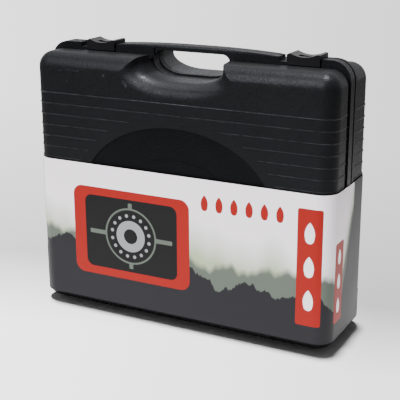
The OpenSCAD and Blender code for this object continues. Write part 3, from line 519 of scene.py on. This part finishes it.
def flame(centre, height):
    """1 inside a small flame: two wide discs overlap to a point, on a round foot"""
    reach = height * FLAME_CURVE
    shift = reach - height * FLAME_HALF_WIDTH
    foot_z = centre[2] - height * FOOT_DROP
    left, right = (add_node(inks, "ShaderNodeVectorMath", {"operation": "DISTANCE"}, in0=place,
                            in1=Vector(centre) + way) for way in flame_ways(centre, shift))
    wide = add_node(inks, "ShaderNodeMath", {"operation": "MAXIMUM"},
                    in0=left.outputs["Value"], in1=right.outputs["Value"])
    blade = add_node(inks, "ShaderNodeMath", {"operation": "SUBTRACT"}, in0=wide.outputs[0],
                     in1=reach)
    below = add_node(inks, "ShaderNodeMath", {"operation": "SUBTRACT"}, in0=foot_z,
                     in1=sides.outputs["Z"])
    tip = add_node(inks, "ShaderNodeMath", {"operation": "MAXIMUM"}, in0=blade.outputs[0],
                   in1=below.outputs[0])
    foot = from_point((centre[0], centre[1], foot_z), height * FOOT_RADIUS)
    return inked(add_node(inks, "ShaderNodeMath", {"operation": "MINIMUM"},
                          in0=tip.outputs[0], in1=foot).outputs[0])


# the hills climb to the sleeve's top over the rear half of the right-hand end
to_end = add_node(inks, "ShaderNodeMapRange", Value=sides.outputs["X"],
                  in1=RISE_ACROSS[0], in2=RISE_ACROSS[1])
to_rear = add_node(inks, "ShaderNodeMapRange", Value=sides.outputs["Y"],
                   in1=RISE_BACK[0], in2=RISE_BACK[1])
rise = add_node(inks, "ShaderNodeMath", {"operation": "MULTIPLY"}, in0=to_end.outputs[0],
                in1=to_rear.outputs[0])


def hills(roll_mm, low, high, detail, start, fade_mm):
    """1 below a line of hills that runs on round the sleeve and falls away to the right"""
    level = add_node(inks, "ShaderNodeMapping", Vector=spot_mm.outputs[0], Scale=(1, 1, 0),
                     Location=(start, 0, 0))
    rolling = add_node(inks, "ShaderNodeTexNoise", Vector=level.outputs[0], Scale=1 / roll_mm,
                       Detail=detail, Roughness=0.6)
    crest = add_node(inks, "ShaderNodeMapRange", {"clamp": False}, Value=rolling.outputs["Fac"],
                     in1=NOISE_LOW, in2=NOISE_HIGH, in3=low, in4=high)
    leaning = add_node(inks, "ShaderNodeMath", {"operation": "MULTIPLY_ADD"},
                       in0=sides.outputs["X"], in1=HILL_LEAN, in2=crest.outputs[0])
    lifted = add_node(inks, "ShaderNodeMath", {"operation": "MULTIPLY_ADD"},
                      in0=rise.outputs[0], in1=END_RISE, in2=leaning.outputs[0])
    above = add_node(inks, "ShaderNodeMath", {"operation": "SUBTRACT"}, in0=sides.outputs["Z"],
                     in1=lifted.outputs[0])
    return inked(above.outputs[0], fade_mm)


def print_over(below, mask, ink):
    """lays a flat ink over what is already printed"""
    return add_node(inks, "ShaderNodeMix", {"data_type": "RGBA"}, in0=mask, in6=below,
                    in7=linear(ink)).outputs[2]


# each line of hills: ink, length of a roll, lowest and highest crest, detail, start, fade
HILLS = ((MIST_GREEN, 95, 84, 122, 2.0, 0, 44), (HILL_GREY, 70, 68, 108, 3.0, 300, 9),
         (PRINT_SLATE, 52, 52, 92, 5.0, 700, 1.2))
printed = linear(CARD_WHITE)
for ink, *shape in HILLS:
    printed = print_over(printed, hills(*shape), ink)

# a burner seen from above: enamelled plate, dark tray, four supports and a ring of ports;
# places and half sizes are across, through and up the card, in millimetres
BURNER_X = -58.0
BURNER_Z = 101.0
PLATE_HALF = (80, 6, 57)
PLATE_CORNER = 15
TRAY_HALF = (62, 6, 45)
TRAY_CORNER = 10
SUPPORT_ACROSS = (55, 3, 2.6)
SUPPORT_UP = (2.6, 3, 40)
SUPPORT_CORNER = 1
HEAD_RADIUS = 33
HEAD_LINE = 2.2
CAP_RADIUS = 19
CAP_HOLE = 9
PORTS = 16
PORTS_RADIUS = 25
PORT_RADIUS = 2.1
burner_at = (BURNER_X, SLEEVE_Y, BURNER_Z)
for ink, mask in ((PRINT_RED, patch(burner_at, PLATE_HALF, PLATE_CORNER)),
                  (PRINT_BLACK, patch(burner_at, TRAY_HALF, TRAY_CORNER)),
                  (HILL_GREY, patch(burner_at, SUPPORT_ACROSS, SUPPORT_CORNER)),
                  (HILL_GREY, patch(burner_at, SUPPORT_UP, SUPPORT_CORNER)),
                  (PRINT_BLACK, inked(from_point(burner_at, HEAD_RADIUS))),
                  (HILL_GREY, ring(burner_at, HEAD_RADIUS, HEAD_LINE)),
                  (PRINT_STEEL, inked(from_point(burner_at, CAP_RADIUS))),
                  (PRINT_BLACK, inked(from_point(burner_at, CAP_HOLE)))):
    printed = print_over(printed, mask, ink)
for step in range(PORTS):
    turn = 2 * math.pi * (step + 0.5) / PORTS
    port = (BURNER_X + PORTS_RADIUS * math.cos(turn), SLEEVE_Y,
            BURNER_Z + PORTS_RADIUS * math.sin(turn))
    printed = print_over(printed, inked(from_point(port, PORT_RADIUS)), PRINT_STEEL)

# flames in a row at the top
FLAMES = 6
FIRST_FLAME_X = 38
FLAME_STEP = 18
FLAME_Z = 154
FLAME_HEIGHT = 17
for step in range(FLAMES):
    flame_at = (FIRST_FLAME_X + FLAME_STEP * step, SLEEVE_Y, FLAME_Z)
    printed = print_over(printed, flame(flame_at, FLAME_HEIGHT), PRINT_RED)

# red bands with three pale flames, on the front and on the right-hand end: place and half size
# of the band, height of its flames and the step between them
BANDS = (((162, SLEEVE_Y, 100), (14, 4, 66), 22, 38),
         ((SLEEVE_X, -29, 80), (4, 11, 46), 16, 28))
BAND_CORNER = 2.5
for centre, half, height, pitch in BANDS:
    printed = print_over(printed, patch(centre, half, BAND_CORNER), PRINT_RED)
    for step in (-1, 0, 1):
        flame_at = (centre[0], centre[1], centre[2] + step * pitch)
        printed = print_over(printed, flame(flame_at, height), CARD_WHITE)

# a slate panel over the front part of the left-hand end
PANEL_AT = (-SLEEVE_X, -36, 98)
PANEL_HALF = (6, 26, 90)
PANEL_CORNER = 1
printed = print_over(printed, patch(PANEL_AT, PANEL_HALF, PANEL_CORNER), PRINT_SLATE)

# only the upright faces are printed: the cut edges, above and below, show the plain board
facing = add_node(inks, "ShaderNodeSeparateXYZ",
                  Vector=add_node(inks, "ShaderNodeNewGeometry").outputs["Normal"])
upright = add_node(inks, "ShaderNodeMath", {"operation": "ABSOLUTE"}, in0=facing.outputs["Z"])
cut = add_node(inks, "ShaderNodeMath", {"operation": "GREATER_THAN"}, in0=upright.outputs[0],
               in1=0.5)
board = add_node(inks, "ShaderNodeMix", {"data_type": "RGBA"}, in0=cut.outputs[0], in6=printed,
                 in7=linear(BOARD_EDGE))

# card fibres show as a slight tooth under the varnish, and the panels bow a little between folds
fibre = add_node(inks, "ShaderNodeTexNoise", Vector=spot, Scale=per_mm(FIBRE_MM), Detail=4.0)
buckle = add_node(inks, "ShaderNodeTexNoise", Vector=spot, Scale=per_mm(BUCKLE_MM), Detail=1.0)
tooth = add_node(inks, "ShaderNodeBump", Height=fibre.outputs["Fac"], Strength=0.35,
                 Distance=FIBRE_DEPTH_MM * MM)
bow = add_node(inks, "ShaderNodeBump", Height=buckle.outputs["Fac"], Strength=0.7,
               Distance=BUCKLE_DEPTH_MM * MM, Normal=tooth.outputs[0])
varnish = add_node(inks, "ShaderNodeMapRange", Value=fibre.outputs["Fac"],
                   in3=VARNISH[0], in4=VARNISH[1])
inks.links.new(board.outputs[2], card_shader.inputs["Base Color"])
inks.links.new(varnish.outputs[0], card_shader.inputs["Roughness"])
inks.links.new(bow.outputs[0], card_shader.inputs["Normal"])
card_shader.inputs["Specular IOR Level"].default_value = CARD_SHINE
for name in ("sleeve_front", "sleeve_rear"):
    dress(name, card)

# ---------------------------------------------------------------- stove body and cartridge cover
# Both are pressed from thin sheet steel, folded, spot welded and coated in gloss red stove
# enamel, which pools a little and takes a fine orange peel as it is baked.
ENAMEL_RED = "#A81E1B"
ENAMEL_DEEP = "#8C1716"
# any enamel: widths of its pools and of the dust haze on it, how far the haze takes the
# roughness down and up, and its clear hard top
POOL_MM = 35
DUST_MM = 18
DUST_SHINE = 0.06
DUST_DULL = 0.08
GLAZE_WEIGHT = 0.35
GLAZE_ROUGHNESS = 0.08


def enamel(name, colour, deep, roughness, peel_mm, peel_depth_mm):
    """baked enamel on steel: deeper where it pools, with orange peel and a clear hard gloss"""
    made, tree, shader = new_material(name)
    at = add_node(tree, "ShaderNodeTexCoord").outputs["Object"]
    pool = add_node(tree, "ShaderNodeTexNoise", Vector=at, Scale=per_mm(POOL_MM), Detail=2.0)
    tone = add_node(tree, "ShaderNodeMix", {"data_type": "RGBA"}, in0=pool.outputs["Fac"],
                    in6=linear(colour), in7=linear(deep))
    dust = add_node(tree, "ShaderNodeTexNoise", Vector=at, Scale=per_mm(DUST_MM), Detail=8.0)
    haze = add_node(tree, "ShaderNodeMapRange", Value=dust.outputs["Fac"],
                    in3=roughness - DUST_SHINE, in4=roughness + DUST_DULL)
    peel = add_node(tree, "ShaderNodeTexNoise", Vector=at, Scale=per_mm(peel_mm), Detail=1.0)
    skin = add_node(tree, "ShaderNodeBump", Height=peel.outputs["Fac"], Strength=0.4,
                    Distance=peel_depth_mm * MM)
    tree.links.new(tone.outputs[2], shader.inputs["Base Color"])
    tree.links.new(haze.outputs[0], shader.inputs["Roughness"])
    tree.links.new(skin.outputs[0], shader.inputs["Normal"])
    shader.inputs["Coat Weight"].default_value = GLAZE_WEIGHT
    shader.inputs["Coat Roughness"].default_value = GLAZE_ROUGHNESS
    return made


# baked enamel gives a deep wet red with a soft-edged reflection of the room
red_enamel = enamel("gloss red stove enamel on pressed steel", ENAMEL_RED, ENAMEL_DEEP,
                    roughness=0.3, peel_mm=2.2, peel_depth_mm=0.06)
for name in ("stove_body", "cartridge_cover"):
    dress(name, red_enamel)

# ---------------------------------------------------------------- base plate, feet and screws
# The base plate is galvanised sheet, held by eight plated screws, with a moulded rubber foot
# pushed in at each corner; the cartridge cradle and the brackets are of the same sheet.
ZINC_LIGHT = "#AFB2B4"
ZINC_DARK = "#989C9F"
SPANGLE_MM = 9
ROLLING_MM = 0.8  # real rolling marks are a tenth of this, drawn coarser so that they show
ROLLING_DEPTH_MM = 0.012
FROST = (0.34, 0.52)
FOOT_BLACK = "#0B0B0B"
FOOT_BLOOM = "#191918"
RUBBER_SHINE = 0.3

# hot-dipped zinc is a cool mid grey, broken into crystals that each mirror the room a little
# differently, which the eye sees as spangle
galvanised, zinc_tree, zinc_shader = new_material("spangled galvanised steel sheet")
at = add_node(zinc_tree, "ShaderNodeTexCoord").outputs["Object"]
spangle = add_node(zinc_tree, "ShaderNodeTexVoronoi", Vector=at, Scale=per_mm(SPANGLE_MM))
crystal = add_node(zinc_tree, "ShaderNodeSeparateColor", Color=spangle.outputs["Color"])
tone = add_node(zinc_tree, "ShaderNodeMix", {"data_type": "RGBA"}, in0=crystal.outputs[0],
                in6=linear(ZINC_LIGHT), in7=linear(ZINC_DARK))
frost = add_node(zinc_tree, "ShaderNodeMapRange", Value=crystal.outputs[1],
                 in3=FROST[0], in4=FROST[1])
rolled = add_node(zinc_tree, "ShaderNodeTexNoise", Vector=at, Scale=per_mm(ROLLING_MM),
                  Detail=3.0)
marks = add_node(zinc_tree, "ShaderNodeBump", Height=rolled.outputs["Fac"], Strength=0.4,
                 Distance=ROLLING_DEPTH_MM * MM)
zinc_tree.links.new(tone.outputs[2], zinc_shader.inputs["Base Color"])
zinc_tree.links.new(frost.outputs[0], zinc_shader.inputs["Roughness"])
zinc_tree.links.new(marks.outputs[0], zinc_shader.inputs["Normal"])
zinc_shader.inputs["Metallic"].default_value = 1.0
for name in ("base_plate", "burner_bracket", "regulator_bracket", "cartridge_cradle"):
    dress(name, galvanised)

# black rubber: a dull, even skin with a faint bloom and no gloss at all
foot_rubber = moulded_plastic("moulded black foot rubber", FOOT_BLACK, FOOT_BLOOM,
                              roughness=0.78, grain_mm=0.4, grain_depth_mm=0.06, wave_mm=20)
rubber_shader = foot_rubber.node_tree.nodes["Principled BSDF"]
rubber_shader.inputs["Specular IOR Level"].default_value = RUBBER_SHINE
dress("rubber_feet", foot_rubber)
for name in ("base_screws", "burner_screws"):
    dress(name, plated_steel)

# ---------------------------------------------------------------- heat shield
# A folded wall of aluminised steel between the burner and the cartridge, standing on the base
# plate by its foot. The mixing tube that passes through it is rolled from the same sheet.
ALUMINISED = "#B8B9B8"
ALUMINISED_DULL = "#A3A4A3"

# the aluminium coat is whiter, duller and more even than zinc, with long rolling marks
aluminised = metal("aluminised steel sheet", ALUMINISED, ALUMINISED_DULL, roughness=0.42,
                   streak_mm=0.9, streak_depth_mm=0.02, across=(6, 1, 6))
for name in ("heat_shield", "mixing_tube"):
    dress(name, aluminised)

# ---------------------------------------------------------------- drip tray and pan supports
# The tray is pressed steel in black vitreous enamel, turned over for carrying. Its four pan
# supports are blades in the same enamel, welded under it. It is the stove's glossiest surface.
TRAY_BLACK = "#0C0C0E"
TRAY_DEEP = "#070708"

# a glass skin: near black, with sharp bright lines of light along every bend
vitreous = enamel("black vitreous enamel on steel", TRAY_BLACK, TRAY_DEEP, roughness=0.2,
                  peel_mm=3.0, peel_depth_mm=0.09)
for name in ("drip_tray", "pan_support_arms"):
    dress(name, vitreous)

# ---------------------------------------------------------------- burner
# An aluminium casting with a pressed stainless cap on its flame ring, on a galvanised
# bracket. The mixing tube runs back to a turned brass jet, fed by a soft brass pipe.
CAST_LIGHT = "#A5A6A7"
CAST_DARK = "#85878A"
CAST_GRAIN_MM = 0.7  # real blasting pits are a fifth of this, drawn coarser so that they show
CAST_PIT_MM = 0.08
STAIN_MM = 12
CAST_DULL = (0.5, 0.68)
STAINLESS = "#B6B3AF"
STAINLESS_WARM = "#A79F93"
BRASS = "#C9A050"
BRASS_DULL = "#A98341"

# blasting leaves the casting dull and pale grey, a field of small rounded pits that gives
# no clear reflection
cast_aluminium, cast_tree, cast_shader = new_material("sand blasted cast aluminium")
at = add_node(cast_tree, "ShaderNodeTexCoord").outputs["Object"]
stain = add_node(cast_tree, "ShaderNodeTexNoise", Vector=at, Scale=per_mm(STAIN_MM),
                 Detail=5.0)
tone = add_node(cast_tree, "ShaderNodeMix", {"data_type": "RGBA"}, in0=stain.outputs["Fac"],
                in6=linear(CAST_LIGHT), in7=linear(CAST_DARK))
pits = add_node(cast_tree, "ShaderNodeTexVoronoi", {"feature": "SMOOTH_F1"}, Vector=at,
                Scale=per_mm(CAST_GRAIN_MM))
skin = add_node(cast_tree, "ShaderNodeBump", Height=pits.outputs["Distance"], Strength=0.6,
                Distance=CAST_PIT_MM * MM)
dull = add_node(cast_tree, "ShaderNodeMapRange", Value=stain.outputs["Fac"],
                in3=CAST_DULL[0], in4=CAST_DULL[1])
cast_tree.links.new(tone.outputs[2], cast_shader.inputs["Base Color"])
cast_tree.links.new(dull.outputs[0], cast_shader.inputs["Roughness"])
cast_tree.links.new(skin.outputs[0], cast_shader.inputs["Normal"])
cast_shader.inputs["Metallic"].default_value = 1.0
dress("burner_head", cast_aluminium)

# the factory's flame test leaves the cap with a faint straw tint
stainless = metal("pressed stainless steel, straw tinted", STAINLESS, STAINLESS_WARM,
                  roughness=0.26, streak_mm=0.6, streak_depth_mm=0.012, across=(3, 3, 1))
dress("burner_cap", stainless)

# brass is warm yellow and bright where it was turned, browner where it was handled
brass = metal("turned and drawn brass", BRASS, BRASS_DULL, roughness=0.24, streak_mm=0.5,
              streak_depth_mm=0.01, across=(8, 8, 1))
for name in ("injector_jet", "gas_pipe"):
    dress(name, brass)

# ---------------------------------------------------------------- regulator
# A zinc die casting, held by its collar in a bracket behind the panel. A nitrile ring seals
# the cartridge's nozzle, and a steel spindle carries the knob through the panel.
DIE_CAST = "#8F9294"
DIE_CAST_DULL = "#7A7D80"
SPINDLE_STEEL = "#A6A6A4"
SPINDLE_DULL = "#8B8A87"
NITRILE_BLACK = "#0E0E0E"
NITRILE_OILED = "#151515"

# the casting is a darker, bluer grey than sheet zinc, with faint flow marks
die_cast = metal("zinc die casting", DIE_CAST, DIE_CAST_DULL, roughness=0.46, streak_mm=1.4,
                 streak_depth_mm=0.03)
dress("regulator_body", die_cast)

# turned steel shows fine rings and a narrow highlight
turned_steel = metal("turned steel", SPINDLE_STEEL, SPINDLE_DULL, roughness=0.28, streak_mm=0.4,
                     streak_depth_mm=0.01, across=(6, 6, 1))
dress("valve_spindle", turned_steel)

# nitrile is a soft, slightly oily black
nitrile = moulded_plastic("nitrile rubber seal", NITRILE_BLACK, NITRILE_OILED, roughness=0.55,
                          grain_mm=0.5, grain_depth_mm=0.02, wave_mm=8)
dress("regulator_seal", nitrile)

# ---------------------------------------------------------------- control panel and knob
# The panel is a satin black moulding with one printed wedge that widens round the knob, for
# a small to a large flame. The knob is glossier, with a pale line let into its grip.
PANEL_BLACK = "#0B0B0C"
PANEL_RUBBED = "#121214"
KNOB_BLACK = "#09090A"
KNOB_RUBBED = "#0E0E10"
MARK_PALE = "#D8D6CF"
WEDGE_RADIUS_MM = 26.5
WEDGE_THIN_MM = 0.25
WEDGE_THICK_MM = 1.7
WEDGE_START = math.radians(25)
WEDGE_END = math.radians(130)
OFF_DOT_MM = 1.4
# the pointer's half width, and where it starts along the grip and on its outer face
POINTER_HALF_MM = 0.7
POINTER_START_MM = 5.0
POINTER_FACE_MM = 1.0

knob_low, knob_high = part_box("control_knob")
knob_at = [(a + b) / 2 for a, b in zip(knob_low, knob_high)]
# ABS with a spark-eroded texture is even and satin, and phenolic is denser and glossier
panel_abs = moulded_plastic("fine textured black ABS", PANEL_BLACK, PANEL_RUBBED,
                            roughness=0.42, grain_mm=0.5, grain_depth_mm=0.04)
knob_phenolic = moulded_plastic("moulded black phenolic", KNOB_BLACK, KNOB_RUBBED,
                                roughness=0.24, grain_mm=0.6, grain_depth_mm=0.01, wave_mm=15)
panel_tree = panel_abs.node_tree
knob_tree = knob_phenolic.node_tree


def mark(tree, mask):
    """prints the pale mark over the colour that a material already has"""
    shader = tree.nodes["Principled BSDF"]
    under = shader.inputs["Base Color"].links[0].from_socket
    tone = add_node(tree, "ShaderNodeMix", {"data_type": "RGBA"}, in0=mask, in6=under,
                    in7=linear(MARK_PALE))
    tree.links.new(tone.outputs[2], shader.inputs["Base Color"])


def from_knob(tree):
    """millimetres from the middle of the knob: x to the left, y up the stove and z outwards"""
    at = add_node(tree, "ShaderNodeTexCoord").outputs["Object"]
    offset = add_node(tree, "ShaderNodeVectorMath", {"operation": "SUBTRACT"}, in0=at, in1=knob_at)
    in_mm = add_node(tree, "ShaderNodeVectorMath", {"operation": "SCALE"}, in0=offset.outputs[0],
                     Scale=-1 / MM)
    return add_node(tree, "ShaderNodeSeparateXYZ", Vector=in_mm.outputs[0])


# the wedge: a ring round the spindle whose line grows from thin to thick, and a dot for off
at = from_knob(panel_tree)
turn = add_node(panel_tree, "ShaderNodeMath", {"operation": "ARCTAN2"}, in0=at.outputs["X"],
                in1=at.outputs["Y"])
half = add_node(panel_tree, "ShaderNodeMapRange", {"clamp": False}, Value=turn.outputs[0],
                in1=WEDGE_START, in2=WEDGE_END, in3=WEDGE_THIN_MM, in4=WEDGE_THICK_MM)
flat = add_node(panel_tree, "ShaderNodeCombineXYZ", X=at.outputs["X"], Y=at.outputs["Y"])
reach = add_node(panel_tree, "ShaderNodeVectorMath", {"operation": "LENGTH"}, in0=flat.outputs[0])
on_ring = add_node(panel_tree, "ShaderNodeMath", {"operation": "COMPARE"},
                   in0=reach.outputs["Value"], in1=WEDGE_RADIUS_MM, in2=half.outputs[0])
in_turn = add_node(panel_tree, "ShaderNodeMath", {"operation": "COMPARE"}, in0=turn.outputs[0],
                   in1=(WEDGE_START + WEDGE_END) / 2, in2=(WEDGE_END - WEDGE_START) / 2)
wedge = add_node(panel_tree, "ShaderNodeMath", {"operation": "MULTIPLY"}, in0=on_ring.outputs[0],
                 in1=in_turn.outputs[0])
from_off = add_node(panel_tree, "ShaderNodeVectorMath", {"operation": "DISTANCE"},
                    in0=flat.outputs[0], in1=(0, WEDGE_RADIUS_MM, 0))
off_dot = add_node(panel_tree, "ShaderNodeMath", {"operation": "LESS_THAN"},
                   in0=from_off.outputs["Value"], in1=OFF_DOT_MM)
wedge = add_node(panel_tree, "ShaderNodeMath", {"operation": "MAXIMUM"}, in0=wedge.outputs[0],
                 in1=off_dot.outputs[0])
mark(panel_tree, wedge.outputs[0])
dress("control_panel", panel_abs)

# the pointer: a line along one half of the grip, on its outer face and end
at = from_knob(knob_tree)
narrow = add_node(knob_tree, "ShaderNodeMath", {"operation": "COMPARE"}, in0=at.outputs["X"],
                  in1=0.0, in2=POINTER_HALF_MM)
one_half = add_node(knob_tree, "ShaderNodeMath", {"operation": "GREATER_THAN"},
                    in0=at.outputs["Y"], in1=POINTER_START_MM)
outer = add_node(knob_tree, "ShaderNodeMath", {"operation": "GREATER_THAN"},
                 in0=at.outputs["Z"], in1=POINTER_FACE_MM)
pointer = add_node(knob_tree, "ShaderNodeMath", {"operation": "MULTIPLY"}, in0=narrow.outputs[0],
                   in1=one_half.outputs[0])
pointer = add_node(knob_tree, "ShaderNodeMath", {"operation": "MULTIPLY"}, in0=pointer.outputs[0],
                   in1=outer.outputs[0])
mark(knob_tree, pointer.outputs[0])
dress("control_knob", knob_phenolic)

# ---------------------------------------------------------------- ignition
# Turning the knob swings a natural nylon cam against a sealed piezo striker. A red silicone
# lead carries the spark under the tray to a steel pin in a glazed ceramic tube.
NYLON = "#CFC9B8"
NYLON_DEEP = "#BDB5A0"
STRIKER_WHITE = "#D9D7CF"
STRIKER_GREY = "#C6C3B9"
LEAD_RED = "#B5261F"
LEAD_DEEP = "#8E1D18"
GLAZE_WHITE = "#E9E5DA"
GLAZE_CREAM = "#DDD6C6"
PIN_STEEL = "#8E8A84"
TUBE_LENGTH_MM = 22
NYLON_GLOW = 0.15
NYLON_GLOW_MM = 1.5

# nylon is a milky cream that lets a little light in at its edges
nylon = moulded_plastic("natural nylon", NYLON, NYLON_DEEP, roughness=0.38, grain_mm=0.6,
                        grain_depth_mm=0.01, wave_mm=12)
nylon_shader = nylon.node_tree.nodes["Principled BSDF"]
nylon_shader.inputs["Subsurface Weight"].default_value = NYLON_GLOW
nylon_shader.inputs["Subsurface Scale"].default_value = NYLON_GLOW_MM * MM
dress("igniter_cam", nylon)

# the striker's polyester is a clean hard white
polyester = moulded_plastic("moulded white polyester", STRIKER_WHITE, STRIKER_GREY,
                            roughness=0.32, grain_mm=0.6, grain_depth_mm=0.01, wave_mm=15)
dress("piezo_igniter", polyester)

# silicone is a dull, dusty red
silicone = moulded_plastic("red silicone insulation", LEAD_RED, LEAD_DEEP, roughness=0.5,
                           grain_mm=0.5, grain_depth_mm=0.01, wave_mm=10)
dress("ignition_wire", silicone)

# glazed alumina is a warm white with a small sharp highlight; beyond the tube's end, towards
# the pan, the node is its bare steel pin
glaze = moulded_plastic("glazed alumina and steel pin", GLAZE_WHITE, GLAZE_CREAM,
                        roughness=0.14, grain_mm=0.9, grain_depth_mm=0.01, wave_mm=10)
glaze_tree = glaze.node_tree
glaze_shader = glaze_tree.nodes["Principled BSDF"]
tube_foot_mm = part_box("spark_electrode")[1][1] / MM
at = add_node(glaze_tree, "ShaderNodeTexCoord").outputs["Object"]
in_mm = add_node(glaze_tree, "ShaderNodeVectorMath", {"operation": "SCALE"}, in0=at,
                 Scale=1 / MM)
along = add_node(glaze_tree, "ShaderNodeSeparateXYZ", Vector=in_mm.outputs[0])
bare = add_node(glaze_tree, "ShaderNodeMath", {"operation": "LESS_THAN"},
                in0=along.outputs["Y"], in1=tube_foot_mm - TUBE_LENGTH_MM)
under = glaze_shader.inputs["Base Color"].links[0].from_socket
tone = add_node(glaze_tree, "ShaderNodeMix", {"data_type": "RGBA"}, in0=bare.outputs[0],
                in6=under, in7=linear(PIN_STEEL))
glaze_tree.links.new(tone.outputs[2], glaze_shader.inputs["Base Color"])
glaze_tree.links.new(bare.outputs[0], glaze_shader.inputs["Metallic"])
dress("spark_electrode", glaze)

# ---------------------------------------------------------------- lock lever and its spring
# The lever is folded steel, dipped in black, with a ribbed thumb tab in front of the panel.
# A bare, bowed spring-steel leaf, blued by its hardening, holds it at the ends of its slot.
LEVER_BLACK = "#0A0A0B"
LEVER_WORN = "#1B1B1C"
SPRING_BLUE = "#5C6169"
SPRING_STRAW = "#86807A"

# the dip coat rounds the steel's edges and shines a little
dipped = moulded_plastic("black dip coat on steel", LEVER_BLACK, LEVER_WORN, roughness=0.33,
                         grain_mm=0.9, grain_depth_mm=0.03, wave_mm=12)
dress("lock_lever", dipped)

# hardening leaves the spring between blue and straw
spring_steel = metal("blued spring steel", SPRING_BLUE, SPRING_STRAW, roughness=0.3,
                     streak_mm=0.5, streak_depth_mm=0.01, across=(6, 1, 6))
dress("detent_spring", spring_steel)

# ---------------------------------------------------------------- cover hinge
# The cartridge cover turns on one plated wire pin through two plated leaves, which are
# spot welded to the side of the stove body.
for name in ("cover_hinge_pin", "cover_hinge_leaf"):
    dress(name, plated_steel)
